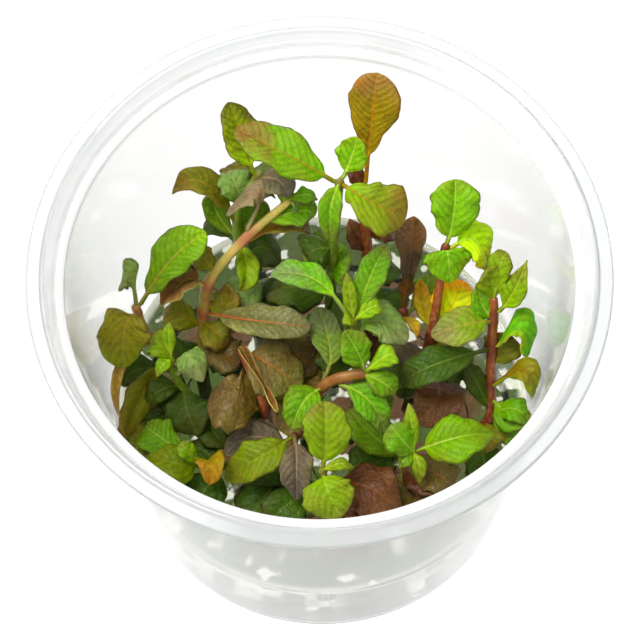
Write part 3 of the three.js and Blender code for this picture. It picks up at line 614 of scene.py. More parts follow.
class Look(Enum):
    """How each leaf is coloured: new leaves are lime, lit ones green to olive, old ones brown."""

    LIME = LeafFinish(
        "leaf_lime", "#92be1e", "#84b01c", "#8e9832", "#acd040", "#b4c44c", "#8c7c28", "#94b84c",
        vein_strength=0.7, brightness=1.15)
    BRIGHT = LeafFinish(
        "leaf_bright", "#88ba1c", "#74b410", "#80ac1e", "#aad848", "#bcd860", "#94882c", "#90b848",
        vein_strength=0.75, rib_strength=0.7, brightness=1.2)
    YELLOW = LeafFinish(
        "leaf_yellow", "#a4c81a", "#a8cc14", "#b4a02c", "#c4dc50", "#ccd864", "#a88028", "#acc434",
        rib_strength=0.5, glow=0.36, brightness=1.9)
    GREEN = LeafFinish(
        "leaf_green", "#7ca41e", "#609612", "#688024", "#92bc3e", "#a4bc4e", "#746c28", "#7ea046")
    DEEP = LeafFinish(
        "leaf_deep", "#466616", "#3a5812", "#464c16", "#607e2e", "#6c8030", "#4e5420", "#526a38",
        roughness=0.32)
    OLIVE = LeafFinish(
        "leaf_olive", "#7c841a", "#6e6e1a", "#6c561e", "#928c36", "#9c7430", "#8a6a2a", "#787444")
    BROWN = LeafFinish(
        "leaf_brown", "#7c7022", "#665420", "#564424", "#8c7a3c", "#9a6430", "#949040", "#78683e",
        roughness=0.3, gloss=0.5)
    PUCKERED = LeafFinish(
        "leaf_puckered", "#7c7022", "#705c22", "#665026", "#8c7a3c", "#7c6a34", "#8c8034", "#78683e",
        roughness=0.26, rib_strength=0.25, gloss=0.7)
    RUST = LeafFinish(
        "leaf_rust", "#643a12", "#5c3414", "#684220", "#84583a", "#8e542c", "#7e5830", "#665238",
        roughness=0.3, gloss=0.5)
    PURPLE = LeafFinish(
        "leaf_purple", "#746848", "#665a46", "#605a4a", "#948870", "#a68a66", "#9a8e58", "#807660")
    GREY = LeafFinish(
        "leaf_grey", "#84ac38", "#789444", "#808450", "#a0b474", "#a49c52", "#8e8e50", "#8a9a68")
    STRAW = LeafFinish(
        "leaf_straw", "#9cac28", "#b09c26", "#bc8c2c", "#c4aa48", "#c08c36", "#c89c40", "#a4984c")
    CROWN = LeafFinish(
        "leaf_crown", "#6eae0c", "#74a40e", "#8c5834", "#98c036", "#a87430", "#7a6824", "#84a83a",
        brightness=1.2)
    TALL = LeafFinish(
        "leaf_tall", "#84a012", "#8e7c16", "#8e7038", "#a86424", "#c8742c", "#a8601c", "#847c38")
    CROWN_RIGHT = LeafFinish(
        "leaf_crown_right", "#7ca818", "#7c9418", "#847428", "#989038", "#a8702c", "#8c6824", "#848038")
    TWISTED = LeafFinish(
        "leaf_twisted", "#6c4418", "#362e1e", "#744c28", "#84583a", "#8e542c", "#7e5830", "#3c382c",
        roughness=0.28, gloss=0.6)
    BACK = LeafFinish(
        "leaf_back", "#c4ff2c", "#8a9c1a", "#3c260a", "#889430", "#8a802e", "#664a24", "#74743a")
    ARCHED = LeafFinish(
        "leaf_arched", "#a47a4c", "#948058", "#887858", "#c4b698", "#c06c44", "#9c9c64", "#8c8464",
        roughness=0.44, vein_strength=0.7)
    RED_STALK = LeafFinish(
        "leaf_red_stalk", "#7c6a22", "#644e1e", "#6c6026", "#867636", "#b8562e", "#987832", "#7c703e")
    LEFT = LeafFinish(
        "leaf_left", "#6c8826", "#669412", "#7cac14", "#94bc3a", "#c08a48", "#5c642a", "#80a044",
        rib_strength=0.6)
    OLIVE_BROWN = LeafFinish(
        "leaf_olive_brown", "#a4884e", "#88821e", "#849022", "#a89c44", "#b88058", "#8c8a3a", "#8c8658",
        rib_strength=0.5)
    DRY = LeafFinish(
        "leaf_dry", "#b49a4e", "#a07e38", "#84602c", "#c4aa6a", "#b89450", "#927040", "#a49060",
        roughness=0.6, glow=0.2)
    RIMMED = LeafFinish(
        "leaf_rimmed", "#845e30", "#704c26", "#8a5a2a", "#90703e", "#b0983e", "#d0cc70", "#a0964e",
        blush=0.2)
    RED_RIB = LeafFinish(
        "leaf_red_rib", "#62542a", "#686632", "#7c784e", "#9a9858", "#bc5430", "#a8a458", "#807c50",
        roughness=0.28, gloss=0.5)
    BROWN_ORANGE = LeafFinish(
        "leaf_brown_orange", "#8a7040", "#7c6a32", "#767a32", "#a08c50", "#c0702c", "#828038", "#887e50",
        roughness=0.28, gloss=0.5)
    OLIVE_YELLOW = LeafFinish(
        "leaf_olive_yellow", "#849a18", "#768c14", "#80881c", "#a0b034", "#9aa03a", "#94842c", "#8c9444",
        rib_strength=0.4, brightness=1.15)
    GREEN_TO_GREY = LeafFinish(
        "leaf_green_to_grey", "#8ccc18", "#66ac1e", "#707e52", "#a6d456", "#aab852", "#787c4c", "#80a056")
    GREEN_TO_OLIVE = LeafFinish(
        "leaf_green_to_olive", "#64a012", "#62961c", "#747838", "#92bc40", "#a2a84a", "#7a743c", "#84a052")
    GREY_OLIVE = LeafFinish(
        "leaf_grey_olive", "#948e28", "#648428", "#687448", "#869c54", "#9ca03e", "#787850", "#7c8a60")
    YELLOW_TO_GREY = LeafFinish(
        "leaf_yellow_to_grey", "#74b016", "#7c9824", "#847c4a", "#a8b450", "#b08c44", "#a88c4c", "#94985c",
        vein_strength=0.7)
    # Painted light: its colours and brightness are raised far above the other leaves', for the light that
    # shines through it where it lies shaded low among them
    ORANGE = LeafFinish(
        "leaf_orange", "#8cc41c", "#c4dc2c", "#f0a828", "#e0cc44", "#d09838", "#f09428", "#d8c050",
        glow=0.55, brightness=1.95)
    GREEN_RIMMED = LeafFinish(
        "leaf_green_rimmed", "#58a014", "#64a812", "#68ac1a", "#84bc36", "#84ac38", "#cca844", "#78ac48")
    CURLED = LeafFinish(
        "leaf_curled", "#8c5018", "#86801c", "#8c9c20", "#aca43a", "#a66c32", "#a4b828", "#8ea442")


class Tone(Enum):
    """The record's material slots for leaves."""

    LIME = "leaf_lime"
    GREEN = "leaf_green"
    DEEP = "leaf_deep"
    OLIVE = "leaf_olive"
    BROWN = "leaf_brown"
    RUST = "leaf_rust"
    PURPLE = "leaf_purple"
    GREY = "leaf_grey"
    STRAW = "leaf_straw"


class Bark(Enum):
    """How each stem is coloured from its foot to its tip."""

    GREEN = StemFinish("stem_green", "#443c18", "#5c7018", "#7ca41e", "#7c5826", "#8ca03c")
    STRAW = StemFinish("stem_straw", "#6a4424", "#b8803c", "#d8c05c", "#a8483c", "#a8b44c")
    ORANGE = StemFinish("stem_orange", "#4a3018", "#985c24", "#b88438", "#84401c", "#b49c4c")
    RED = StemFinish("stem_red", "#3c2010", "#8c3c1c", "#ac5a28", "#6c2418", "#b87c48")


@dataclass(frozen=True)
class LeafForm:
    """A leaf's outline.

    `stalk` is the stalk's part of the length, `widest` is where the blade is widest as a part of
    its length, and a low `blunt` gives blunt ends.
    """

    stalk: float
    widest: float
    blunt: float

    def on_blade(self, along: np.ndarray) -> np.ndarray:
        """Turns places along the leaf into places along its blade, from 0 to 1."""
        return np.clip((along - self.stalk) / (1 - self.stalk), 0, 1)

    def outline(self, along: np.ndarray) -> np.ndarray:
        """Gives half the blade's width, as a part of its full half width.

        Args:
            along: places from the leaf's start, 0, to its tip, 1.

        Returns:
            The width at each place, 0 to 1.
        """
        power = math.log(0.5) / math.log(self.widest)
        return np.clip(np.sin(np.pi * self.on_blade(along) ** power), 0, None) ** self.blunt


class Form(Enum):
    """The outlines that the leaves have."""

    OVAL = LeafForm(0.1, 0.5, 0.58)
    ROUND = LeafForm(0.06, 0.52, 0.48)
    PADDLE = LeafForm(0.22, 0.6, 0.5)
    LANCE = LeafForm(0.08, 0.46, 0.78)
    TAILED = LeafForm(0.14, 0.4, 1.1)
    BLUNT = LeafForm(0.06, 0.6, 0.45)
    SPOON = LeafForm(0.04, 0.4, 0.5)


@dataclass(frozen=True)
class Leaf:
    """A leaf: it leaves its stem at a height, passes through `via` and ends at `tip`.

    `roll` turns its face about its length, and `fold` lifts both halves, in degrees. `twist`
    turns its tip, in degrees, and `curl` lifts its tip, as a part of its length. `trim` gives the
    widths of its left and then its right half at TRIM_PLACES, as parts of the form's.
    """

    tone: Tone
    form: Form
    width: float
    height: float
    via: Point
    tip: Point
    fold: float = 0.0
    roll: float = 0.0
    twist: float = 0.0
    curl: float = 0.0
    trim: tuple[float, ...] = ()
    look: Look | None = None

    def finish(self) -> Look:
        """Gives the leaf's own look, or the plain one of its tone."""
        return self.look or Look[self.tone.name]


@dataclass(frozen=True)
class Shoot:
    """A stem with its own leaves and the small leaves that are grown in one with it."""

    name: str
    bark: Bark
    path: tuple[Point, ...]
    radius: tuple[float, float]
    leaves: dict[str, Leaf] = field(default_factory=dict)
    small: tuple[Leaf, ...] = ()

    def radius_at(self, along: float | np.ndarray) -> float | np.ndarray:
        """Gives the stem's radius at places from its foot, 0, to its tip, 1."""
        return self.radius[0] + (self.radius[1] - self.radius[0]) * along


# The same shoots as in the part's source: paths, widths and places in millimetres
SHOOTS = (
    Shoot(
        "stem_crown",
        Bark.GREEN,
        path=((2, 8, 5), (1.5, 11, 25), (2.5, 17, 50), (4, 22.5, 70)),
        radius=(1.2, 0.7),
        leaves={
            "leaf_crown_left": Leaf(
                Tone.LIME, Form.OVAL, 9.2, 69,
                (-5.5, 25.7, 73.6), (-13.9, 30.6, 73.2), fold=8, look=Look.CROWN,
            ),
            "leaf_crown_up": Leaf(
                Tone.LIME, Form.OVAL, 6, 69.6,
                (6.2, 25.4, 73.3), (7.2, 27.6, 76), fold=8, look=Look.BRIGHT,
            ),
            "leaf_crown_right": Leaf(
                Tone.OLIVE, Form.BLUNT, 9.6, 69,
                (9.3, 17.9, 70), (15.2, 17.2, 65.7), fold=6,
                trim=(0.8, 0.85, 0.92, 1.25, 0.85, 1.1, 1.12, 1), look=Look.CROWN_RIGHT,
            ),
        },
        small=(
            Leaf(Tone.GREEN, Form.LANCE, 3.8, 69, (2.2, 17, 68.5), (2.4, 13.3, 63), fold=30),
            Leaf(Tone.GREEN, Form.OVAL, 6, 46, (-0.3, 18.6, 49.6), (-3.6, 18.8, 48.2)),
            Leaf(Tone.DEEP, Form.OVAL, 8, 40, (-4, 14.5, 43), (-10, 15, 41)),
            Leaf(Tone.GREEN, Form.ROUND, 6.4, 45, (3, 16.4, 48), (5.7, 16.6, 50)),
            Leaf(Tone.DEEP, Form.OVAL, 6, 52, (-1, 16.9, 53), (-2.3, 15.2, 51)),
            Leaf(Tone.GREEN, Form.OVAL, 6, 33, (-0.3, 10.2, 34), (-2.9, 7.7, 33)),
        ),
    ),
    Shoot(
        "stem_back",
        Bark.RED,
        path=((7, 12, 5), (8.5, 14, 25), (8.6, 20.3, 48), (8, 25.5, 61)),
        radius=(1.2, 0.9),
        leaves={
            "leaf_tall": Leaf(
                Tone.OLIVE, Form.PADDLE, 9.6, 60.6,
                (9.7, 32.3, 72), (11, 38.7, 78.7), fold=5,
                trim=(0.8, 1, 0.9, 1, 0.8, 1.04, 0.92, 1), look=Look.TALL,
            ),
        },
        small=(
            Leaf(Tone.RUST, Form.LANCE, 3.4, 46, (7, 20.8, 50.5), (5.6, 23.2, 52.5)),
            Leaf(Tone.RUST, Form.LANCE, 2.4, 60, (6.9, 27, 62.5), (6.2, 28.4, 63.5)),
            Leaf(Tone.RUST, Form.OVAL, 5, 49, (11.5, 22, 51.5), (14.5, 21, 49)),
            Leaf(Tone.DEEP, Form.OVAL, 6, 39, (11.4, 18.5, 42), (13.6, 21, 41)),
            Leaf(Tone.DEEP, Form.OVAL, 5, 35, (6.2, 12.6, 38), (4.6, 9.8, 37)),
            Leaf(Tone.DEEP, Form.OVAL, 7, 36, (11.7, 13.1, 38), (14.6, 9.9, 37)),
        ),
    ),
    Shoot(
        "stem_thick",
        Bark.STRAW,
        path=(
            (-21.5, 6, 5), (-22, 7, 25), (-21, 12, 40),
            (-19.3, 15, 47), (-12.6, 20.1, 53), (-4.8, 24.7, 58),
        ),
        radius=(1.3, 0.7),
        leaves={
            "leaf_arched_brown": Leaf(
                Tone.PURPLE, Form.PADDLE, 6.4, 53.3,
                (-10.4, 24.9, 60.6), (-16.4, 23.4, 55.2), fold=0, look=Look.ARCHED,
            ),
            "leaf_arched_right": Leaf(
                Tone.BROWN, Form.OVAL, 4.8, 52.6,
                (-4, 23.4, 51.4), (-0.6, 21.8, 45.2), fold=15, look=Look.RED_STALK,
            ),
            "leaf_long_olive": Leaf(
                Tone.OLIVE, Form.OVAL, 7, 39.5,
                (-10.6, 6, 46.9), (-1.9, 5.2, 46), fold=10, look=Look.RED_RIB,
            ),
            "leaf_folded_rim": Leaf(
                Tone.BROWN, Form.OVAL, 7.4, 45.5,
                (-24.1, 13.6, 48.4), (-28.2, 10.8, 44), fold=30, look=Look.RIMMED,
            ),
        },
        small=(
            Leaf(Tone.GREY, Form.LANCE, 3, 57.6, (-3.6, 24.4, 57), (-3.1, 23, 53.5)),
            Leaf(Tone.GREEN, Form.LANCE, 2.6, 57.8, (-2.2, 25.2, 58.6), (0.2, 25, 57.6)),
            Leaf(Tone.GREEN, Form.LANCE, 2.4, 57, (-5.8, 25.8, 59.2), (-6.6, 27, 60)),
            Leaf(Tone.OLIVE, Form.OVAL, 4.6, 36, (-25.6, 10.8, 40.5), (-29.1, 12.4, 40)),
            Leaf(Tone.OLIVE, Form.OVAL, 4, 47.5, (-20.8, 17.4, 50), (-22.9, 18.4, 49.6)),
            Leaf(Tone.DEEP, Form.OVAL, 6, 29, (-17.5, 6, 31), (-14, 3, 30)),
            Leaf(Tone.OLIVE, Form.OVAL, 5, 40.5, (-17.2, 12.4, 42), (-16.7, 15.2, 44)),
            Leaf(Tone.OLIVE, Form.OVAL, 5.6, 37, (-18.7, 7.6, 39), (-16, 6, 38)),
            Leaf(Tone.DEEP, Form.OVAL, 7, 31.5, (-24.2, 6, 33), (-27.1, 4.1, 33)),
            Leaf(Tone.BROWN, Form.OVAL, 6.4, 35.5, (-17.9, 4.8, 36.4), (-14.7, 2.9, 36)),
            Leaf(Tone.GREEN, Form.OVAL, 4.6, 54.6, (-3.5, 23.3, 56), (-0.2, 22.6, 56)),
        ),
    ),
    Shoot(
        "stem_upper_left",
        Bark.GREEN,
        path=((-11, 12, 5), (-11.6, 14.5, 25), (-14.6, 24.4, 50), (-10, 29.6, 60)),
        radius=(1.2, 0.7),
        leaves={
            "leaf_back_dark": Leaf(
                Tone.OLIVE, Form.OVAL, 7, 59,
                (-13.5, 33, 67), (-15.6, 37.5, 71), fold=8, look=Look.BACK,
            ),
        },
        small=(
            Leaf(
                Tone.OLIVE, Form.LANCE, 4.4, 49, (-20.4, 27.4, 60.2), (-26.2, 26.6, 57.6), fold=20,
            ),
            Leaf(Tone.GREY, Form.OVAL, 5.4, 52, (-9, 29.4, 56.5), (-6.7, 28.2, 54.5), roll=15),
            Leaf(Tone.GREEN, Form.LANCE, 3.8, 46, (-18.6, 28, 48.5), (-16.5, 29.6, 51)),
            Leaf(Tone.DEEP, Form.PADDLE, 4.6, 44.5, (-18.2, 26.6, 44), (-21.4, 28.4, 42.6)),
            Leaf(Tone.OLIVE, Form.ROUND, 5, 52, (-14.1, 30.4, 56.6), (-16.7, 31.8, 54.6)),
            Leaf(Tone.DEEP, Form.OVAL, 7, 38.5, (-10.9, 22.6, 43.2), (-6.4, 20.3, 40.6)),
            Leaf(Tone.DEEP, Form.OVAL, 7, 35, (-8, 15.5, 37.5), (-2.5, 13, 36.5)),
            Leaf(Tone.GREY, Form.OVAL, 5.4, 40, (-13.8, 14.9, 41.5), (-16.4, 12.2, 40.5)),
            Leaf(Tone.LIME, Form.LANCE, 3.6, 46.5, (-12.9, 16.1, 47), (-14.6, 13.1, 45), fold=25),
            Leaf(Tone.PURPLE, Form.OVAL, 5, 58, (-7.2, 26.9, 61.5), (-5.5, 24.3, 60)),
            Leaf(Tone.DEEP, Form.OVAL, 8, 36, (-10.1, 14.1, 37.4), (-6, 10.8, 36.4)),
            Leaf(Tone.GREY, Form.ROUND, 5.4, 53.4, (-14.7, 28.4, 58), (-16.5, 30.9, 57)),
            Leaf(Tone.GREEN, Form.OVAL, 5, 47, (-11.4, 25.6, 49.6), (-8.6, 26.4, 50.4)),
        ),
    ),
    Shoot(
        "stem_left",
        Bark.STRAW,
        path=((-25, 4, 5), (-26.5, 5, 25), (-31.4, 8, 38), (-33.2, 10.3, 46)),
        radius=(1.1, 0.7),
        leaves={
            "leaf_left_green": Leaf(
                Tone.GREEN, Form.OVAL, 8.6, 45.4,
                (-26, 16, 53), (-19.8, 19.3, 56), fold=8,
                trim=(0.95, 1.05, 1, 0.85, 0.85, 0.95, 1.1, 1.25), look=Look.LEFT,
            ),
            "leaf_left_brown": Leaf(
                Tone.OLIVE, Form.ROUND, 9.6, 44.2,
                (-34.9, 5.2, 47.6), (-35.6, 0.4, 40.2), fold=0, roll=-32, look=Look.OLIVE_BROWN,
            ),
            "leaf_dried": Leaf(
                Tone.STRAW, Form.LANCE, 2.4, 37,
                (-36.6, 0.2, 38.4), (-36.4, -7.6, 36.4), fold=30, look=Look.DRY,
            ),
        },
        small=(
            Leaf(Tone.GREY, Form.PADDLE, 4.8, 45, (-33.9, 13.4, 52), (-36.4, 11.9, 49.6)),
            Leaf(Tone.DEEP, Form.OVAL, 5.4, 27.2, (-33.6, 4.4, 30.5), (-36, 0.5, 31.4)),
            Leaf(Tone.OLIVE, Form.OVAL, 5.4, 31, (-33.6, -3.6, 33.2), (-34.6, -10, 33.2), roll=-40),
        ),
    ),
    Shoot(
        "stem_left_shoot",
        Bark.GREEN,
        path=((-21, -2, 5), (-22, -2, 25), (-26, 0.4, 34), (-27, 2, 41)),
        radius=(1.1, 0.6),
        leaves={
            "leaf_grey_folded": Leaf(
                Tone.GREY, Form.OVAL, 7.4, 39.4, (-23.8, 0.8, 44.2), (-21.2, -3.2, 41.6), fold=-25,
            ),
        },
        small=(
            Leaf(Tone.LIME, Form.OVAL, 4.4, 40, (-29, 4, 42.6), (-31.2, 5.2, 42.4)),
            Leaf(Tone.LIME, Form.LANCE, 2, 40.6, (-27.2, 4.6, 44.5), (-27.1, 6.7, 46)),
            Leaf(Tone.LIME, Form.LANCE, 2.2, 40, (-28.4, 0.4, 41.6), (-29.5, -1, 39.6)),
            Leaf(Tone.DEEP, Form.LANCE, 3.4, 32.4, (-29.6, -1.6, 34), (-32.2, -4.4, 31)),
            Leaf(Tone.DEEP, Form.OVAL, 5, 27, (-29.5, -6, 28.4), (-33.5, -9.5, 27.6)),
            Leaf(Tone.DEEP, Form.OVAL, 5, 27, (-20.4, -6.6, 28.5), (-17.4, -10.2, 28)),
            Leaf(Tone.DEEP, Form.OVAL, 6.4, 32, (-24.6, -4.2, 32.4), (-22.9, -9.2, 31)),
            Leaf(Tone.DEEP, Form.OVAL, 6, 30, (-29.5, -1, 31), (-31.9, -4.2, 31)),
        ),
    ),
    Shoot(
        "stem_mid_left",
        Bark.RED,
        path=((-9, -5, 5), (-10, -5, 25), (-10.8, -4, 35), (-14.6, 4.4, 40.4)),
        radius=(1.1, 0.8),
        leaves={
            "leaf_brown_mid": Leaf(
                Tone.BROWN, Form.ROUND, 11, 39.6,
                (-9.2, 0.2, 41), (-3.6, -2.9, 37.6), fold=-6, look=Look.BROWN_ORANGE,
            ),
            "leaf_spoon": Leaf(
                Tone.OLIVE, Form.SPOON, 3.4, 40.2,
                (-12.4, -1.8, 44.4), (-8.2, -9.8, 42.4), fold=52,
                trim=(0.95, 0.7, 0.3, 1.5, 0.95, 0.7, 0.3, 1.5), look=Look.RIMMED,
            ),
            "leaf_round_brown": Leaf(
                Tone.BROWN, Form.ROUND, 12.6, 33,
                (-15.5, -5.4, 38.6), (-20.4, -3.2, 36.6), fold=-8,
                trim=(1.1, 1, 1, 1.1, 1.1, 1, 1, 1.1), look=Look.PUCKERED,
            ),
        },
        small=(
            Leaf(Tone.OLIVE, Form.OVAL, 6.4, 32, (-5.4, -1.2, 34), (0, 1.7, 34.6)),
            Leaf(Tone.DEEP, Form.OVAL, 6, 26.8, (-13, -9.5, 28.5), (-14.5, -14, 28)),
            Leaf(Tone.BROWN, Form.OVAL, 8.4, 37.6, (-6.5, 3.2, 38.4), (-0.4, 0.7, 37)),
            Leaf(Tone.PURPLE, Form.OVAL, 6.4, 30, (-11.8, -9.9, 31), (-17.5, -11.8, 30)),
            Leaf(Tone.DEEP, Form.OVAL, 7, 28.5, (-13.4, -2.8, 29.8), (-16.8, -1.2, 30)),
        ),
    ),
    Shoot(
        "stem_centre",
        Bark.GREEN,
        path=((5, -2, 5), (6, -2, 25), (6.4, 0.6, 40), (5.9, 4, 51.5)),
        radius=(1.1, 0.6),
        leaves={
            "leaf_centre_left": Leaf(
                Tone.LIME, Form.PADDLE, 6.2, 50.8,
                (-1.1, 10.6, 54.5), (-8.4, 11.7, 53), fold=8, look=Look.GREEN_TO_GREY,
            ),
            "leaf_centre_up": Leaf(
                Tone.GREEN, Form.OVAL, 5.4, 50.6,
                (9.2, 10.5, 56), (12.3, 15.6, 58), fold=10, look=Look.GREEN_TO_OLIVE,
            ),
            "leaf_centre_round": Leaf(
                Tone.GREY, Form.ROUND, 8, 48, (10.9, 4.6, 48.9), (15, 1.8, 45.4),
            ),
        },
        small=(
            Leaf(Tone.LIME, Form.LANCE, 2.2, 51, (5.3, 6.9, 55.2), (4.7, 10.3, 57)),
            Leaf(Tone.LIME, Form.OVAL, 2.8, 50.8, (9, 5.2, 53.4), (11.8, 6, 52.4)),
            Leaf(Tone.LIME, Form.ROUND, 2.4, 50.8, (4.9, 3.3, 52.8), (3.8, 3.2, 53)),
            Leaf(Tone.DEEP, Form.OVAL, 6, 35, (11, -1, 38), (14.5, -3.5, 37.5)),
            Leaf(Tone.DEEP, Form.OVAL, 7, 42, (5.7, 9.5, 44), (7.9, 11.9, 43)),
            Leaf(Tone.GREEN, Form.OVAL, 7, 33.6, (9.4, -3.7, 35), (12.9, -5.3, 34)),
            Leaf(Tone.DEEP, Form.OVAL, 7, 38, (2.7, 2.9, 39), (-0.5, 4.8, 38)),
        ),
    ),
    Shoot(
        "stem_rosette",
        Bark.ORANGE,
        path=((-3, -7, 5), (-3, -7, 25), (-1, -5, 38), (2, -4.2, 43.4), (8, -4, 46)),
        radius=(1.1, 0.8),
        leaves={
            "leaf_rosette_back": Leaf(
                Tone.GREEN, Form.OVAL, 6, 45.9, (6.4, -1.9, 50.5), (4.2, 0.8, 53.6), fold=5,
            ),
            "leaf_drooping": Leaf(
                Tone.GREEN, Form.OVAL, 6, 43.8,
                (8.4, -8.3, 43), (10.9, -12.3, 38), fold=8, look=Look.GREEN_TO_OLIVE,
            ),
            "leaf_grey_up": Leaf(
                Tone.GREY, Form.PADDLE, 6, 42,
                (1.6, 1.5, 44.6), (-0.4, 10.2, 42.6), fold=5, look=Look.GREY_OLIVE,
            ),
            "leaf_glossy": Leaf(
                Tone.GREEN, Form.ROUND, 7.4, 41.2, (-3.4, -8.3, 43), (-5.6, -12, 40), fold=8,
            ),
        },
        small=(
            Leaf(Tone.LIME, Form.OVAL, 3.6, 45.9, (11.7, -2.4, 49.6), (14.2, -2, 48.6)),
            Leaf(Tone.GREEN, Form.OVAL, 4, 45.6, (10.8, -5.8, 45.5), (12.8, -6.8, 42.8)),
            Leaf(Tone.BROWN, Form.OVAL, 6.4, 32.6, (-5.2, -6.8, 33.4), (-8.4, -8.6, 32)),
            Leaf(Tone.DEEP, Form.OVAL, 6.4, 30, (0.4, -9.4, 31), (3.8, -11.3, 30)),
        ),
    ),
    Shoot(
        "stem_front_left",
        Bark.RED,
        path=((-6, -12, 5), (-6, -13, 25), (-5, -11.6, 36.6)),
        radius=(1, 0.7),
        leaves={
            "leaf_olive_front": Leaf(
                Tone.OLIVE, Form.OVAL, 7.4, 36,
                (-11.4, -16.4, 37.6), (-18.4, -18.2, 32.2), fold=6, look=Look.OLIVE_YELLOW,
            ),
            "leaf_grey_purple": Leaf(
                Tone.PURPLE, Form.OVAL, 6, 36.2, (-4.8, -18.4, 38.6), (-5.1, -23.6, 34), fold=6,
            ),
        },
        small=(
            Leaf(Tone.PURPLE, Form.OVAL, 5, 29.4, (-12, -10, 32), (-18.6, -12.4, 30.6)),
            Leaf(Tone.DEEP, Form.OVAL, 8, 26.8, (-10.5, -20, 28.5), (-15.5, -25.5, 27.5)),
            Leaf(Tone.DEEP, Form.OVAL, 7, 28.4, (-9.8, -14.9, 29.4), (-12.6, -17.8, 28.6)),
        ),
    ),
    Shoot(
        "stem_front",
        Bark.GREEN,
        path=((0, -17, 5), (-0.2, -18.4, 25), (-0.2, -20.4, 41)),
        radius=(1.1, 0.7),
        leaves={
            "leaf_front_up": Leaf(
                Tone.LIME, Form.ROUND, 8.8, 40.4, (0.6, -15.3, 46), (0.4, -10.2, 48), fold=5,
            ),
            "leaf_front_down": Leaf(
                Tone.LIME, Form.ROUND, 9.4, 40, (0.6, -24.8, 42), (2.6, -28.2, 38),
            ),
            "leaf_brown_front": Leaf(
                Tone.RUST, Form.ROUND, 10.4, 30, (7.6, -21.8, 36), (13.5, -26, 33), fold=-5,
            ),
        },
        small=(
            Leaf(Tone.LIME, Form.OVAL, 2, 40, (2.6, -20, 42.4), (5.8, -19.8, 41.4)),
            Leaf(Tone.DEEP, Form.OVAL, 6, 28, (-6.5, -23, 31.4), (-9.8, -26, 29.4)),
            Leaf(Tone.RUST, Form.OVAL, 6, 26.8, (4, -25, 29), (6, -31, 28)),
            Leaf(Tone.DEEP, Form.OVAL, 7, 29.4, (-4.2, -21, 30.6), (-7, -23.9, 30)),
        ),
    ),
    Shoot(
        "stem_left_front",
        Bark.GREEN,
        path=((-16, -11, 5), (-17, -12, 22), (-22.2, -15.2, 31)),
        radius=(1.1, 0.7),
        leaves={
            "leaf_lime_front": Leaf(
                Tone.LIME, Form.ROUND, 7.6, 30.6,
                (-26.4, -16.1, 34.8), (-31.8, -13.4, 33.2), look=Look.OLIVE_YELLOW,
            ),
            "leaf_green_round": Leaf(
                Tone.GREEN, Form.PADDLE, 7, 28.6, (-28.4, -10.6, 32.4), (-32.2, -6.8, 31.4),
            ),
        },
        small=(
            Leaf(Tone.STRAW, Form.OVAL, 4.6, 30.5, (-20, -16.6, 36.2), (-20.5, -20, 34.6), fold=25),
            Leaf(Tone.LIME, Form.OVAL, 2.8, 30.5, (-24.2, -14.2, 35.6), (-25.4, -12.7, 36)),
            Leaf(Tone.OLIVE, Form.PADDLE, 4.8, 27.5, (-31.8, -10, 30.2), (-34.6, -6.6, 30.8)),
            Leaf(Tone.DEEP, Form.OVAL, 7, 26.8, (-22, -19.5, 28.5), (-26, -23, 27.6)),
            Leaf(Tone.DEEP, Form.OVAL, 5.4, 26.6, (-21.6, -10.9, 27.8), (-24.6, -9.8, 27.4)),
        ),
    ),
    Shoot(
        "stem_right_front",
        Bark.GREEN,
        path=((12, -11, 5), (13, -12, 24), (16.2, -15.9, 37.5)),
        radius=(1.1, 0.6),
        leaves={
            "leaf_bright_right": Leaf(
                Tone.GREEN, Form.OVAL, 9.6, 36.8,
                (23.4, -15.2, 41.6), (31, -12.7, 39), fold=6,
                trim=(0.9, 1, 0.88, 0.6, 1, 1.05, 0.9, 0.6), look=Look.BRIGHT,
            ),
        },
        small=(
            Leaf(Tone.GREEN, Form.ROUND, 5, 37, (14, -15, 41), (12.2, -12.6, 42)),
            Leaf(Tone.LIME, Form.LANCE, 2.2, 37, (15.8, -12.6, 41.6), (15.3, -9, 43.5)),
            Leaf(Tone.LIME, Form.LANCE, 2.2, 36.6, (17, -18.6, 37.4), (17, -20.8, 34)),
            Leaf(Tone.GREEN, Form.LANCE, 2.2, 36.4, (14.6, -17.4, 38), (13.4, -18.6, 36.5)),
            Leaf(Tone.GREEN, Form.ROUND, 5.4, 28.5, (8.6, -11, 34.6), (4.8, -7.2, 35.2)),
            Leaf(Tone.BROWN, Form.OVAL, 6, 28.5, (20.4, -18.2, 32.4), (23.6, -21, 30.6)),
            Leaf(Tone.BROWN, Form.OVAL, 7, 26.8, (17.5, -22.6, 29), (19.8, -27.6, 28)),
            Leaf(Tone.RUST, Form.OVAL, 7, 29.6, (18.5, -17.8, 31), (22.4, -20.5, 31)),
            Leaf(Tone.DEEP, Form.OVAL, 7, 27, (9.1, -14.6, 28.6), (5.9, -18, 28)),
        ),
    ),
    Shoot(
        "stem_mid_right",
        Bark.RED,
        path=((10, 5, 5), (11, 6, 25), (15.2, 9.8, 43)),
        radius=(1.1, 0.8),
        leaves={
            "leaf_red_brown": Leaf(
                Tone.RUST, Form.OVAL, 8, 42.4,
                (16.2, 14.4, 52), (16.8, 20.8, 58), fold=8, twist=35,
                trim=(0.3, 0.5, 0.95, 1.2, 0.3, 0.45, 1, 1.25), look=Look.TWISTED,
            ),
        },
        small=(
            Leaf(Tone.STRAW, Form.LANCE, 1.6, 40, (16.6, 6, 45), (17.2, 3.4, 44)),
            Leaf(Tone.GREEN, Form.PADDLE, 4.4, 39, (18.6, 12.5, 43), (19.6, 16.5, 43.5)),
            Leaf(Tone.RUST, Form.OVAL, 7, 33, (11.2, 5.3, 35), (8.8, 2.6, 34)),
            Leaf(Tone.DEEP, Form.OVAL, 6.4, 30, (14.9, 2.1, 31), (14.1, -2.2, 30)),
        ),
    ),
    Shoot(
        "stem_right_crown",
        Bark.RED,
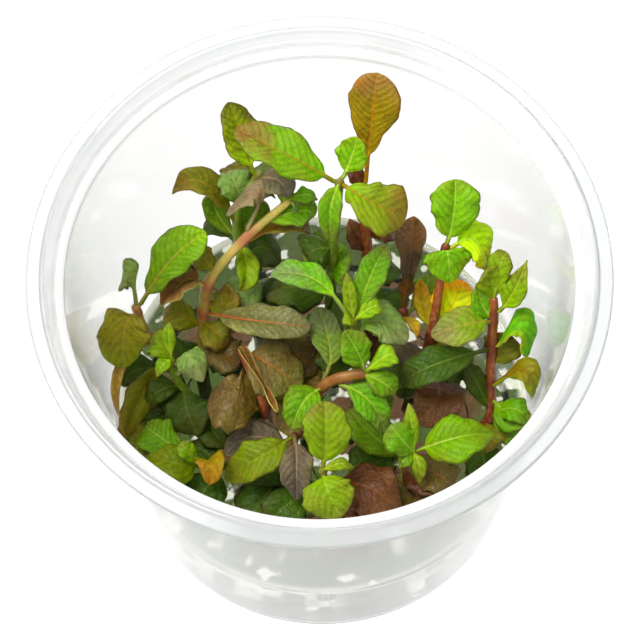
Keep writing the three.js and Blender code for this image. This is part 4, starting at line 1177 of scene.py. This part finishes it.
        path=((16, 4, 5), (18, 5, 25), (20, 5.6, 42), (22.6, 15.6, 58)),
        radius=(1.2, 0.7),
        leaves={
            "leaf_right_up": Leaf(
                Tone.LIME, Form.ROUND, 8.8, 57.4,
                (24, 19.2, 64), (24.2, 23.6, 66.7), fold=5, look=Look.BRIGHT,
            ),
            "leaf_right_down": Leaf(
                Tone.GREEN, Form.ROUND, 9.4, 56.8,
                (22.8, 13.1, 57.4), (23.2, 10.2, 52.8),
                trim=(1.1, 1.04, 0.85, 0.7, 1.1, 1, 0.82, 0.7), look=Look.BRIGHT,
            ),
            "leaf_right_yellow": Leaf(
                Tone.LIME, Form.OVAL, 8.6, 57,
                (27.9, 15.9, 57.4), (29.3, 13.2, 51), fold=8, look=Look.YELLOW,
            ),
            "leaf_orange": Leaf(
                Tone.STRAW, Form.OVAL, 8.4, 41,
                (24, 9, 47), (25.8, 14.1, 46.4), fold=5, look=Look.ORANGE,
            ),
            "leaf_brown_right": Leaf(
                Tone.RUST, Form.OVAL, 9.6, 28.5, (21.2, -3.9, 35), (16.6, -8.2, 33), fold=5,
            ),
        },
        small=(
            Leaf(Tone.PURPLE, Form.OVAL, 6, 35, (16.4, 3.1, 36.4), (14, 0.8, 35)),
            Leaf(Tone.STRAW, Form.LANCE, 3, 42, (18.6, 10.4, 44), (18.1, 14.2, 46)),
            Leaf(Tone.DEEP, Form.OVAL, 6, 36.4, (23.6, 1.1, 38), (25.9, -2.1, 37)),
            Leaf(Tone.OLIVE, Form.OVAL, 6.4, 38, (22.8, 6.5, 39.4), (25.8, 7.5, 40.4)),
            Leaf(Tone.DEEP, Form.OVAL, 7, 27, (22, 0.4, 28), (24.9, -1.6, 27.4)),
        ),
    ),
    Shoot(
        "stem_right",
        Bark.RED,
        path=(
            (23, -8, 5), (25, -8, 22), (30.2, -6.6, 30),
            (30.4, -2.2, 36), (30.9, 6.4, 47), (31, 8.4, 50),
        ),
        radius=(1.2, 0.7),
        leaves={
            "leaf_dark_right": Leaf(
                Tone.DEEP, Form.OVAL, 7.2, 41.5, (20.2, -2.2, 44.6), (13.9, -4, 41), fold=8,
            ),
            "leaf_yellow_green": Leaf(
                Tone.GREY, Form.OVAL, 7.4, 46,
                (25.7, 3.3, 49.5), (19.8, 2.4, 47.2), fold=5, look=Look.YELLOW_TO_GREY,
            ),
            "leaf_sprig_right": Leaf(
                Tone.GREEN, Form.TAILED, 5.2, 47.4,
                (34.5, 8.4, 52.2), (37, 13, 55), fold=15, look=Look.LIME,
            ),
            "leaf_sprig_low": Leaf(
                Tone.GREEN, Form.ROUND, 7.4, 42,
                (35.6, 3.4, 47), (37.2, 0, 42),
                trim=(1.1, 1.15, 1.1, 1, 0.6, 0.35, 0.5, 0.8), look=Look.GREEN_RIMMED,
            ),
            "leaf_sprig_curled": Leaf(
                Tone.OLIVE, Form.OVAL, 5.4, 36,
                (36.2, -4, 45.4), (37.4, -7.2, 40.5), fold=10, look=Look.CURLED,
            ),
        },
        small=(
            Leaf(Tone.LIME, Form.OVAL, 3.6, 49.4, (32, 12, 55.2), (33.3, 14.4, 55)),
            Leaf(Tone.GREEN, Form.OVAL, 4.2, 30, (34.2, -7.6, 36.6), (36.4, -9.4, 34.2)),
            Leaf(Tone.DEEP, Form.LANCE, 3.4, 31.5, (27.8, -2.6, 37.4), (26, 0.4, 39.4)),
            Leaf(Tone.OLIVE, Form.OVAL, 4.6, 29, (30.6, -11.4, 32.4), (31.4, -13.6, 31)),
            Leaf(Tone.DEEP, Form.OVAL, 5.4, 26.8, (29, -14.5, 28.6), (28.5, -19.5, 28)),
            Leaf(Tone.DEEP, Form.OVAL, 5, 26.8, (33, -6, 28.4), (35, -3.2, 28.2)),
            Leaf(Tone.GREEN, Form.LANCE, 4, 46.4, (28.9, 7.3, 49), (28.4, 10.1, 51)),
            Leaf(Tone.LIME, Form.OVAL, 4.6, 49.4, (30.6, 10.1, 53), (29.8, 11.8, 55.6)),
            Leaf(Tone.OLIVE, Form.OVAL, 5.6, 39, (32.2, 2.3, 41), (33.2, 4.6, 43)),
            Leaf(Tone.GREEN, Form.LANCE, 3.4, 31, (33.2, -9.6, 32), (34.2, -13.4, 31)),
            Leaf(Tone.GREEN, Form.OVAL, 5.4, 33.6, (34.2, -8.2, 35), (36, -7.1, 35.4)),
        ),
    ),
)


def unit(vectors: np.ndarray) -> np.ndarray:
    """Scales vectors to length one.

    Args:
        vectors: one vector or rows of them.

    Returns:
        The same vectors at length one.
    """
    return vectors / np.linalg.norm(vectors, axis=-1, keepdims=True)


def smooth(value: np.ndarray) -> np.ndarray:
    """Eases a value from 0 to 1 at both of its ends."""
    held = np.clip(value, 0, 1)
    return held * held * (3 - 2 * held)


def deselect() -> None:
    """Clears the selection, which an operator would act on."""
    bpy.ops.object.select_all(action="DESELECT")


def sleeve(name: str, rings: np.ndarray, layers: dict[str, np.ndarray]) -> bpy.types.Object:
    """Makes a closed smooth skin over rings of points.

    Args:
        name: the piece's name.
        rings: places in millimetres, by ring and by place round the ring. The last place of a
            ring falls on its first.
        layers: named vectors for the same places, for the materials.

    Returns:
        The piece.
    """
    count, around = rings.shape[:2]
    deselect()
    bpy.ops.mesh.primitive_grid_add(x_subdivisions=around - 1, y_subdivisions=count - 1, size=1)
    piece = bpy.context.object
    piece.name = name
    piece.data.name = name
    piece.data.vertices.foreach_set("co", (rings * MM).astype(np.float32).ravel())
    for title, values in layers.items():
        layer = piece.data.attributes.new(title, "FLOAT_VECTOR", "POINT")
        layer.data.foreach_set("vector", values.astype(np.float32).ravel())
    bpy.ops.object.mode_set(mode="EDIT")
    bpy.ops.mesh.select_all(action="SELECT")
    bpy.ops.mesh.remove_doubles(threshold=SEAM_GAP * MM)
    bpy.ops.mesh.fill_holes(sides=0)
    bpy.ops.mesh.normals_make_consistent(inside=False)
    bpy.ops.object.mode_set(mode="OBJECT")
    bpy.ops.object.shade_smooth()
    return piece


def joined(name: str, pieces: list[bpy.types.Object]) -> bpy.types.Object:
    """Joins pieces into the first one.

    Args:
        name: the joined piece's name.
        pieces: what is joined.

    Returns:
        The joined piece.
    """
    deselect()
    for piece in pieces:
        piece.select_set(True)
    bpy.context.view_layer.objects.active = pieces[0]
    if len(pieces) > 1:
        bpy.ops.object.join()
    pieces[0].name = name
    pieces[0].data.name = name
    return pieces[0]


def dress(
    piece: bpy.types.Object,
    material: bpy.types.Material,
    node: str | None,
) -> None:
    """Gives a piece its material and its body, and hides the CAD node that it stands for.

    Args:
        piece: the piece.
        material: its material.
        node: the CAD node that it replaces, if any.
    """
    piece.data.materials.clear()
    piece.data.materials.append(material)
    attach(piece, BODY)
    if node:
        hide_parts(node)
    log.info("%s: %d faces", piece.name, len(piece.data.polygons))


class StemCurve:
    """The smooth line through a stem's points, as the part's source draws it."""

    STEP = 0.0001
    HALVINGS = 30

    def __init__(self, path: tuple[Point, ...]) -> None:
        """Keeps the points, with one more past each end.

        Args:
            path: the stem's points.
        """
        points = np.array(path, float)
        first = 2 * points[0] - points[1]
        last = 2 * points[-1] - points[-2]
        self.points = np.vstack((first, points, last))
        self.spans = len(path) - 1

    def at(self, along: np.ndarray) -> np.ndarray:
        """Gives places on the line.

        Args:
            along: places from the foot, 0, to the tip, 1.

        Returns:
            The places in millimetres.
        """
        reach = np.clip(np.atleast_1d(along), 0, 1) * self.spans
        span = np.minimum(reach.astype(int), self.spans - 1)
        part = (reach - span)[:, None]
        before, start, end, after = (self.points[span + step] for step in range(4))
        leave = 0.5 * (end - before)
        arrive = 0.5 * (after - start)
        square = part * part
        cube = square * part
        return (
            start
            + leave * part
            + (3 * (end - start) - 2 * leave - arrive) * square
            + (2 * (start - end) + leave + arrive) * cube
        )

    def heading(self, along: np.ndarray) -> np.ndarray:
        """Gives the line's direction.

        Args:
            along: places from the foot, 0, to the tip, 1.

        Returns:
            A direction of length one for each place.
        """
        places = np.atleast_1d(along)
        return unit(self.at(places + self.STEP) - self.at(places - self.STEP))

    def along_at(self, height: float) -> float:
        """Finds where the line reaches a height, since stems only climb.

        Args:
            height: the height in millimetres.

        Returns:
            The place from 0 to 1.
        """
        low, high = 0.0, 1.0
        for _ in range(self.HALVINGS):
            middle = (low + high) / 2
            if self.at(middle)[0, 2] < height:
                low = middle
            else:
                high = middle
        return (low + high) / 2


def arc(along: np.ndarray, start: np.ndarray, bend: np.ndarray, end: np.ndarray) -> np.ndarray:
    """Gives places on a smooth arc whose two ends both point at a bend.

    Args:
        along: places from its start, 0, to its end, 1, in one column.
        start: where it starts.
        bend: where the directions of its ends meet.
        end: where it ends.

    Returns:
        The places.
    """
    return (1 - along) ** 2 * start + 2 * (1 - along) * along * bend + along**2 * end


def rings_about(
    line: np.ndarray,
    side: np.ndarray,
    face: np.ndarray,
    reach: np.ndarray,
    rise: np.ndarray,
) -> np.ndarray:
    """Sets a ring of points about each place of a line.

    Args:
        line: the line's places.
        side: the way across it at each place.
        face: the way out of it at each place.
        reach: how far each point of each ring lies across.
        rise: how far it lies out.

    Returns:
        The points, by ring and by place round the ring.
    """
    return (
        line[:, None, :]
        + side[:, None, :] * reach[:, :, None]
        + face[:, None, :] * rise[:, :, None]
    )


@dataclass(frozen=True)
class Habit:
    """How one leaf differs from the others of its form.

    `wave` and `bulge` are heights as parts of the half width, `shift` moves the waves, `tint`
    makes the leaf paler or darker, and `lobes` are where its edge waves start.
    """

    wave: float
    bulge: float
    shift: float
    twist: float
    tint: float
    curl: float
    lobes: np.ndarray

    @classmethod
    def drawn(cls, number: int, own: bool) -> "Habit":
        """Draws a leaf's habit.

        Args:
            number: the leaf's number, which gives it its own draws.
            own: whether the leaf is a piece of its own. The small ones hang twice as loosely.

        Returns:
            The habit.
        """
        draw = np.random.default_rng(SEED + number)
        loose = 1.0 if own else 2.0
        return cls(
            wave=draw.uniform(0.08, 0.17),
            bulge=draw.uniform(-0.04, 0.14),
            shift=draw.uniform(0, 1),
            twist=loose * draw.uniform(-12, 12),
            tint=draw.uniform(-1, 1),
            curl=loose * draw.uniform(-0.08, 0.04),
            lobes=draw.uniform(0, 2 * np.pi, 4),
        )


@dataclass(frozen=True)
class Spine:
    """A leaf's midrib, with the way across the leaf and out of its face at each place."""

    along: np.ndarray
    line: np.ndarray
    side: np.ndarray
    face: np.ndarray
    length: float


@dataclass
class Foliage:
    """Turns the shoots into stems and leaf blades.

    Gaps, widths, depths, heights, steps and the stem's tip are in millimetres. The other values
    are counts, or parts of the size that they belong to. `half_offset` and `other_half` set the
    right half's veins and waves off from the left half's. `vein_lean` is how far the side veins
    lean towards the tip at the rib, and how much farther at the edge. `full_blade` is how much
    wider than its stalk a leaf is where it is all blade.
    """

    leaf_rings: int = 54
    leaf_columns: int = 18
    small_rings: int = 24
    small_columns: int = 10
    small_spread: float = 1.3
    fork_gap: float = 0.5
    foot_share: float = 0.3
    ripples: float = 2.6
    quilting: float = 0.14
    cells_across: float = 3.2
    groove_width: float = 0.4
    groove_depth: float = 0.1
    rib_height: float = 0.3
    stalk_taper: float = 0.6
    fewest_pairs: int = 4
    half_offset: float = 0.2
    other_half: float = 1.9
    vein_lean: Span = (0.75, 0.5)
    row_shift: float = 0.37
    cell_depth: float = 0.4
    flat_by_rib: float = 0.2
    full_blade: float = 2.2
    twist_start: float = 0.2
    curl_start: float = 0.45
    curve_slack: float = 1.05
    stem_places: int = 16
    stem_step: float = 0.6
    stem_corners: float = 0.05
    stem_tip: float = 1.2
    stem_bluntness: float = 0.96
    node_swelling: float = 0.2
    made: int = 0
    materials: dict[str, bpy.types.Material] = field(default_factory=dict)

    def material(self, finish: LeafFinish | StemFinish) -> bpy.types.Material:
        """Gives a finish's material, made once.

        Args:
            finish: the finish.

        Returns:
            The material.
        """
        if finish.title not in self.materials:
            self.materials[finish.title] = finish.material()
        return self.materials[finish.title]

    def spine(self, shoot: Shoot, curve: StemCurve, leaf: Leaf, own: bool, habit: Habit) -> Spine:
        """Draws a leaf's midrib from its stem through `via` to its tip.

        Args:
            shoot: the leaf's shoot.
            curve: its stem's line.
            leaf: the leaf.
            own: whether the leaf is a piece of its own, which starts outside the stem's skin.
            habit: how the leaf differs from others.

        Returns:
            The midrib.
        """
        place = curve.along_at(leaf.height)
        centre = curve.at(place)[0]
        heading = curve.heading(place)[0]
        via, tip = np.array(leaf.via, float), np.array(leaf.tip, float)
        out = via - centre
        out = unit(out - heading * (out @ heading) * 0.7)
        skin = shoot.radius_at(place)
        start = centre + out * (skin + self.fork_gap) if own else centre

        along = np.linspace(0, 1, self.leaf_rings if own else self.small_rings)[:, None]
        bend = 2 * via - (start + tip) / 2
        line = arc(along, start, bend, tip)
        tangent = unit((1 - along) * (bend - start) + along * (tip - bend))
        chord = unit(tip - start)
        level = unit(np.cross(chord, UP))
        roll = math.radians(leaf.roll)
        across = level * math.cos(roll) + np.cross(chord, level) * math.sin(roll)
        flat_side = unit(across - tangent * (tangent @ across)[:, None])
        flat_face = unit(np.cross(flat_side, tangent))
        twisted = smooth((along - self.twist_start) / (1 - self.twist_start))
        swing = np.radians(habit.twist + leaf.twist) * twisted
        side = flat_side * np.cos(swing) + flat_face * np.sin(swing)
        face = flat_face * np.cos(swing) - flat_side * np.sin(swing)
        length = np.linalg.norm(tip - start) * self.curve_slack
        curled = smooth((along - self.curl_start) / (1 - self.curl_start))
        lift = (habit.curl + leaf.curl) * length * curled**2
        line = line + face * lift
        if own:
            line = np.vstack((centre + out * skin * self.foot_share, line))
            side, face = np.vstack((side[:1], side)), np.vstack((face[:1], face))
            along = np.vstack(([[0.0]], along))
        return Spine(along, line, side, face, length)

    def edge(
        self,
        leaf: Leaf,
        spine: Spine,
        habit: Habit,
        right: np.ndarray,
        bladed: np.ndarray,
    ) -> np.ndarray:
        """Gives a blade's edge: lobes, waves and teeth, and the leaf's own trim.

        Args:
            leaf: the leaf.
            spine: its midrib.
            habit: how the leaf differs from others.
            right: which places of a ring are on the right half.
            bladed: how much of each ring is blade.

        Returns:
            The width at each point, as a part of the outline's.
        """
        width = 1.0
        for waves, high, right_draw, left_draw in EDGE_WAVES:
            first = np.where(right, habit.lobes[right_draw], habit.lobes[left_draw])
            width = width + bladed * high * np.sin(2 * np.pi * waves * spine.along + first)
        if leaf.trim:
            marks = (0.0, *TRIM_PLACES)
            count = len(TRIM_PLACES)
            places = leaf.form.value.on_blade(spine.along)
            halves = (leaf.trim[:count], leaf.trim[count:])
            left_trim, right_trim = (np.interp(places, marks, (1.0, *half)) for half in halves)
            width = width * np.where(right, right_trim, left_trim)
        return width

    def blade(
        self,
        name: str,
        shoot: Shoot,
        curve: StemCurve,
        leaf: Leaf,
        own: bool,
    ) -> bpy.types.Object:
        """Shapes one leaf: a round stalk that widens into a thin, quilted, slightly wavy blade.

        Args:
            name: the piece's name.
            shoot: the leaf's shoot.
            curve: its stem's line.
            leaf: the leaf.
            own: whether the leaf is a piece of its own.

        Returns:
            The piece.
        """
        self.made += 1
        habit = Habit.drawn(self.made, own)
        spine = self.spine(shoot, curve, leaf, own, habit)
        along, length = spine.along, spine.length

        thinning = 1 - self.stalk_taper * along
        stalk = PETIOLE_RADIUS * thinning
        spread = 1.0 if own else self.small_spread
        wide = spread * leaf.width / 2 * leaf.form.value.outline(along)
        half = (wide**4 + stalk**4) ** 0.25
        bladed = smooth((half / stalk - 1) / self.full_blade)

        columns = self.leaf_columns if own else self.small_columns
        top = np.linspace(-1, 1, columns + 1)
        ring = np.concatenate((top, top[-2::-1]))[None, :]
        right = ring > 0
        below = np.concatenate(([0.5], np.zeros(columns - 1), [0.5], np.ones(columns - 1), [0.5]))
        from_rib = np.abs(ring)

        pairs = max(round(length / VEIN_SPACING), self.fewest_pairs)
        at_rib, farther = self.vein_lean
        lean = from_rib * half / length * (at_rib + farther * from_rib)
        offset = np.where(right, self.half_offset, 0.0)
        order = pairs * (leaf.form.value.on_blade(along) - lean) + offset
        ease = smooth(from_rib / self.flat_by_rib) * (1 - from_rib**6)
        rows = self.cells_across * from_rib + self.row_shift * np.floor(order)
        cells = 1 - self.cell_depth + self.cell_depth * np.abs(np.sin(np.pi * rows))
        quilt = np.abs(np.sin(np.pi * order)) ** 0.8 * cells * ease * self.quilting * half**0.6
        fold = math.radians(leaf.fold)
        phase = np.where(right, self.other_half, 0.0)
        ripple = np.sin(2 * np.pi * (self.ripples * along + habit.shift) + phase)
        groove = np.exp(-((from_rib * half / self.groove_width) ** 2))
        sheet = bladed * (
            half * math.sin(fold) * from_rib**1.15
            + half * habit.bulge * np.sin(np.pi * from_rib)
            + half * habit.wave * from_rib**2.2 * ripple
            + quilt
            - self.groove_depth * groove
        )
        round_part = np.sqrt(np.clip(1 - from_rib**2, 0, 1)) * stalk
        thin_part = BLADE_THICKNESS / 2 * np.sqrt(1 - from_rib**8)
        ridge = self.rib_height * groove * thinning
        upper = round_part * (1 - bladed) + thin_part * bladed
        lower = round_part * (1 - bladed) + (thin_part + ridge) * bladed
        skin = np.where(below < 0.25, upper, 0.0) - np.where(below > 0.75, lower, 0.0)
        edge = self.edge(leaf, spine, habit, right, bladed)
        reach = ring * half * edge * (1 - bladed * (1 - math.cos(fold)))
        flat = np.ones_like(reach)
        layers = {
            "veins": np.stack((order, from_rib * flat, along * flat), axis=-1),
            "blade": np.stack((below * flat, habit.tint * flat, from_rib * half), axis=-1),
        }
        return sleeve(name, rings_about(spine.line, spine.side, spine.face, reach, sheet + skin), layers)

    def stem(self, shoot: Shoot, curve: StemCurve) -> bpy.types.Object:
        """Shapes a stem: faintly four-sided, swollen at its nodes and rounded at its tip.

        Args:
            shoot: the shoot.
            curve: its line.

        Returns:
            The piece.
        """
        length = np.linalg.norm(np.diff(curve.at(np.linspace(0, 1, 40)), axis=0), axis=1).sum()
        along = np.linspace(0, 1, int(length / self.stem_step))
        centre = curve.at(along)
        heading = curve.heading(along)
        side = unit(np.cross(np.array((0.0, 1.0, 0.0)), heading))
        back = np.cross(heading, side)
        nodes = np.array([leaf.height for leaf in shoot.leaves.values()])
        gaps = (centre[:, 2:3] - nodes[None, :]) / NODE_LENGTH
        swelling = np.exp(-(gaps**2)).max(axis=1)
        from_tip = (1 - along) * length
        near_tip = 1 - np.clip(from_tip / self.stem_tip, 0, 1)
        closing = np.sqrt(1 - near_tip**2 * self.stem_bluntness)
        radius = shoot.radius_at(along) * (1 + self.node_swelling * swelling) * closing
        angle = np.linspace(0, 2 * np.pi, self.stem_places + 1)[None, :]
        rim = radius[:, None] * (1 + self.stem_corners * np.cos(4 * angle))
        flat = np.ones_like(rim)
        up_there = (centre[:, 2:3] / centre[-1, 2]) * flat
        bark = np.stack((up_there, swelling[:, None] * flat, np.sin(angle + 0.8) * flat), axis=-1)
        rings = rings_about(centre, side, back, rim * np.cos(angle), rim * np.sin(angle))
        return sleeve(shoot.name + "_skin", rings, {"bark": bark})

    def grow(self, shoot: Shoot) -> None:
        """Makes a shoot's stem, its own leaves and its small leaves.

        Args:
            shoot: the shoot.
        """
        curve = StemCurve(shoot.path)
        dress(self.stem(shoot, curve), self.material(shoot.bark.value), shoot.name)
        for name, leaf in shoot.leaves.items():
            piece = self.blade(name + "_blade", shoot, curve, leaf, own=True)
            dress(piece, self.material(leaf.finish().value), name)
        for tone in Tone:
            same = [leaf for leaf in shoot.small if leaf.tone is tone]
            if same:
                pieces = [self.blade("small", shoot, curve, leaf, own=False) for leaf in same]
                piece = joined(f"{shoot.name}_{tone.name.lower()}_leaves", pieces)
                dress(piece, self.material(Look[tone.name].value), shoot.name)


@dataclass
class Cup:
    """The cup: foot ring, tapering wall, lid seat, bead and flat flange, in one moulding."""

    height: float = 80.0
    rim: float = 50.0
    seat: float = 46.7
    mouth: float = 43.6
    floor: float = 34.7
    foot: float = 35.5
    wall: float = 0.95
    floor_top: float = 1.8
    corner_run: float = 1.3
    corner_rise: float = 1.5
    foot_ring: Span = (28.0, 33.0)
    ring_slant: float = 0.6
    foot_slant: float = 0.8
    wall_start: float = 2.6
    seat_height: float = 76.2
    seat_depth: float = 0.8
    seat_slant: float = 0.7
    seat_width: float = 1.7
    seat_rise: float = 0.6
    seat_skin: float = 0.8
    flange: float = 1.2
    flange_edge: float = 0.5
    flange_lean: float = 0.2
    bead: float = 0.4
    bead_foot: float = 0.9
    bead_top: float = 0.6
    rounding: float = 0.22
    sides: int = 160

    def wall_radius(self, height: float) -> float:
        """Gives the inside radius of the wall at a height."""
        start = self.floor_top + self.corner_rise
        return self.floor + (self.mouth - self.floor) * (height - start) / (self.seat_height - start)

    def profile(self) -> list[tuple[float, float]]:
        """Gives the cup's section, from the middle of its foot round to its floor.

        Returns:
            Radius and height of each corner.
        """
        inner, outer = self.foot_ring
        wall_top = self.seat_height - self.seat_depth
        top = self.height - self.bead
        under = top - self.flange
        return [
            (inner - self.ring_slant, self.ring_slant),
            (inner, 0.0),
            (outer, 0.0),
            (self.foot - self.foot_slant, self.foot_slant),
            (self.foot, self.wall_start),
            (self.mouth + self.wall, wall_top),
            (self.seat - self.seat_slant, wall_top + self.seat_slant),
            (self.seat + self.seat_skin, under),
            (self.rim - self.flange_edge, under),
            (self.rim, under + self.flange_edge),
            (self.rim - self.flange_lean, top),
            (self.seat + self.bead_foot, top),
            (self.seat + self.bead_top, self.height),
            (self.seat, self.height),
            (self.seat - self.seat_width, self.seat_height + self.seat_rise),
            (self.mouth, self.seat_height),
            (self.floor, self.floor_top + self.corner_rise),
            (self.floor - self.corner_run, self.floor_top),
        ]

    def build(self) -> None:
        """Turns the cup, softens its corners and dresses it."""
        piece = turned("cup_moulding", self.profile(), self.sides)
        soften(piece, self.rounding, segments=3)
        dress(piece, CupFinish().material(), "cup")


def turned(name: str, profile: list[tuple[float, float]], sides: int) -> bpy.types.Object:
    """Turns a profile: a filled disc is extruded from corner to corner.

    Args:
        name: the piece's name.
        profile: radius and height of each corner in millimetres, none of them on the axis.
        sides: how many faces the turn has.

    Returns:
        The piece.
    """
    deselect()
    radius, height = profile[0]
    bpy.ops.mesh.primitive_circle_add(vertices=sides, radius=radius * MM, fill_type="TRIFAN")
    piece = bpy.context.object
    piece.name = name
    piece.data.name = name
    bpy.ops.object.mode_set(mode="EDIT")
    bpy.ops.mesh.select_all(action="SELECT")
    bpy.ops.transform.translate(value=(0, 0, height * MM))
    for next_radius, next_height in profile[1:]:
        lift = (0, 0, (next_height - height) * MM)
        bpy.ops.mesh.extrude_region_move(TRANSFORM_OT_translate={"value": lift})
        grow = next_radius / radius
        bpy.ops.transform.resize(value=(grow, grow, 1), center_override=(0, 0, 0))
        radius, height = next_radius, next_height
    bpy.ops.mesh.select_all(action="SELECT")
    bpy.ops.mesh.normals_make_consistent(inside=False)
    bpy.ops.object.mode_set(mode="OBJECT")
    return piece


def soften(piece: bpy.types.Object, width: float, segments: int) -> None:
    """Rounds a piece's corners and shades it smoothly, with its wide faces kept true.

    Args:
        piece: the piece.
        width: how wide the rounding is, in millimetres.
        segments: how many faces it has.
    """
    deselect()
    piece.select_set(True)
    bpy.context.view_layer.objects.active = piece
    bevel = piece.modifiers.new("rounding", "BEVEL")
    bevel.width = width * MM
    bevel.segments = segments
    bevel.limit_method = "ANGLE"
    bevel.angle_limit = math.radians(CORNER_ANGLE)
    bpy.ops.object.modifier_apply(modifier=bevel.name)
    bpy.ops.object.shade_smooth_by_angle(angle=math.radians(SHARP_ANGLE))
    true_faces = piece.modifiers.new("true_faces", "WEIGHTED_NORMAL")
    true_faces.weight = WIDE_FACES_WEIGHT
    true_faces.keep_sharp = True
    bpy.ops.object.modifier_apply(modifier=true_faces.name)


@dataclass
class Gel:
    """The nutrient gel, which fills the bottom of the cup and climbs a little at its wall.

    `climb_slope` is how far from the wall the climb flattens, how high it is there, and how far
    from the wall it ends.
    """

    cup: Cup
    top: float = 25.0
    gap: float = 0.08
    bottom: float = 2.1
    shoulder: float = 3.7
    climb: float = 0.5
    climb_slope: Point = (0.9, 0.12, 2.4)
    rounding: float = 0.2
    sides: int = 128

    def build(self) -> None:
        """Turns the gel and dresses it."""
        low = self.cup.wall_radius(self.shoulder) - self.gap
        high = self.cup.wall_radius(self.top + self.climb) - self.gap
        near, rise, far = self.climb_slope
        profile = [
            (self.cup.floor - self.cup.corner_run - self.gap * 4, self.bottom),
            (low, self.shoulder),
            (high, self.top + self.climb),
            (high - near, self.top + rise),
            (high - far, self.top),
        ]
        piece = turned("gel_layer", profile, self.sides)
        soften(piece, self.rounding, segments=2)
        dress(piece, GelFinish().material(), "nutrient_gel")


@dataclass
class Roots:
    """Fine roots that spread from the foot of each stem inside the gel."""

    cup: Cup
    each: int = 5
    radius: float = 0.17
    taper: float = 0.7
    start_height: Span = (1.0, 12.0)
    reach: Span = (3.0, 9.0)
    drop: Span = (4.0, 12.0)
    arching: Span = (0.0, 3.0)
    wall_gap: float = 3.0
    floor_gap: float = 1.0
    rings: int = 12
    places: int = 6

    def root(self, foot: np.ndarray, index: int) -> bpy.types.Object:
        """Shapes one root, drooping towards the floor of the cup.

        Args:
            foot: the stem's lowest point.
            index: which root it is, for its own direction and length.

        Returns:
            The root.
        """
        draw = np.random.default_rng(SEED * 100 + index)
        angle = draw.uniform(0, 2 * np.pi)
        out = np.array((math.cos(angle), math.sin(angle), 0.0))
        start = foot + UP * draw.uniform(*self.start_height)
        end = start + out * draw.uniform(*self.reach)
        most = self.cup.wall_radius(self.cup.floor_top + 2 * self.floor_gap) - self.wall_gap
        distance = float(np.hypot(end[0], end[1]))
        if distance > most:
            end[:2] *= most / distance
        lowest = self.cup.floor_top + self.floor_gap
        end[2] = max(start[2] - draw.uniform(*self.drop), lowest)
        bend = (start + end) / 2 + UP * draw.uniform(*self.arching)
        along = np.linspace(0, 1, self.rings)[:, None]
        line = arc(along, start, bend, end)
        heading = unit(np.gradient(line, axis=0))
        side = unit(np.cross(heading, UP + 0.01 * out))
        back = np.cross(heading, side)
        turn = np.linspace(0, 2 * np.pi, self.places + 1)[None, :]
        radius = self.radius * (1 - self.taper * along)
        rings = rings_about(line, side, back, radius * np.cos(turn), radius * np.sin(turn))
        return sleeve("root", rings, {})

    def build(self) -> None:
        """Makes the roots of every stem as one piece and dresses it."""
        pieces = []
        for number, shoot in enumerate(SHOOTS):
            foot = np.array(shoot.path[0], float)
            pieces += [self.root(foot, number * self.each + turn) for turn in range(self.each)]
        dress(joined("fine_roots", pieces), RootFinish().material(), None)


@dataclass
class Studio:
    """A glowing light table, soft light all round and a soft lamp above and to the left."""

    floor_size: float = 6.0
    floor_drop: float = 0.1
    sky: float = 0.85
    lamp_power: float = 7.4
    lamp_size: float = 0.5
    lamp_place: Point = (-0.34, 0.1, 0.8)
    lamp_aim: Point = (0.0, 0.0, 0.05)

    def camera(self) -> None:
        """Adds the camera at the photograph's viewing angle."""
        data = bpy.data.cameras.new("camera")
        data.lens = CAMERA_LENS
        camera = bpy.data.objects.new("camera", data)
        bpy.context.collection.objects.link(camera)
        turned_down = Matrix.Rotation(math.radians(90 - CAMERA_RISE), 4, "X")
        rolled = Matrix.Rotation(math.radians(CAMERA_TURN), 4, "Z")
        back = turned_down @ Vector((0, 0, CAMERA_DISTANCE * MM))
        aim = Vector(CAMERA_AIM) * MM
        camera.matrix_world = Matrix.Translation(aim + back) @ turned_down @ rolled
        bpy.context.scene.camera = camera

    def floor(self) -> None:
        """Adds the floor, a plain white light table."""
        deselect()
        bpy.ops.mesh.primitive_plane_add(size=self.floor_size)
        floor = bpy.context.object
        floor.name = "floor"
        bpy.ops.object.mode_set(mode="EDIT")
        bpy.ops.mesh.select_all(action="SELECT")
        bpy.ops.transform.translate(value=(0, 0, -self.floor_drop * MM))
        bpy.ops.mesh.subdivide(number_cuts=3)
        bpy.ops.object.mode_set(mode="OBJECT")
        floor.data.materials.append(TableFinish().material())

    def light(self) -> None:
        """Adds the even white surroundings and the soft lamp."""
        world = bpy.data.worlds.new("surroundings")
        world.use_nodes = True
        world.node_tree.nodes.clear()
        add_node(
            world.node_tree,
            "OutputWorld",
            add_node(world.node_tree, "Background", (1, 1, 1, 1), self.sky),
        )
        bpy.context.scene.world = world
        lamp = bpy.data.lights.new("soft_lamp", "AREA")
        lamp.energy = self.lamp_power
        lamp.size = self.lamp_size
        lamp_object = bpy.data.objects.new("soft_lamp", lamp)
        bpy.context.collection.objects.link(lamp_object)
        towards = Vector(self.lamp_aim) - Vector(self.lamp_place)
        turned_to = towards.to_track_quat("-Z", "Y").to_matrix().to_4x4()
        lamp_object.matrix_world = Matrix.Translation(self.lamp_place) @ turned_to
        bpy.context.scene.view_settings.view_transform = "Standard"

    def build(self) -> None:
        """Sets up the floor, the light and the camera."""
        self.floor()
        self.light()
        self.camera()


def main() -> None:
    """Builds every piece in order."""
    logging.basicConfig(level=logging.INFO, format="%(name)s %(message)s")
    cup = Cup()
    cup.build()
    Gel(cup).build()
    Roots(cup).build()
    foliage = Foliage()
    for shoot in SHOOTS:
        foliage.grow(shoot)
    Studio().build()


if __name__ == "__main__":
    main()
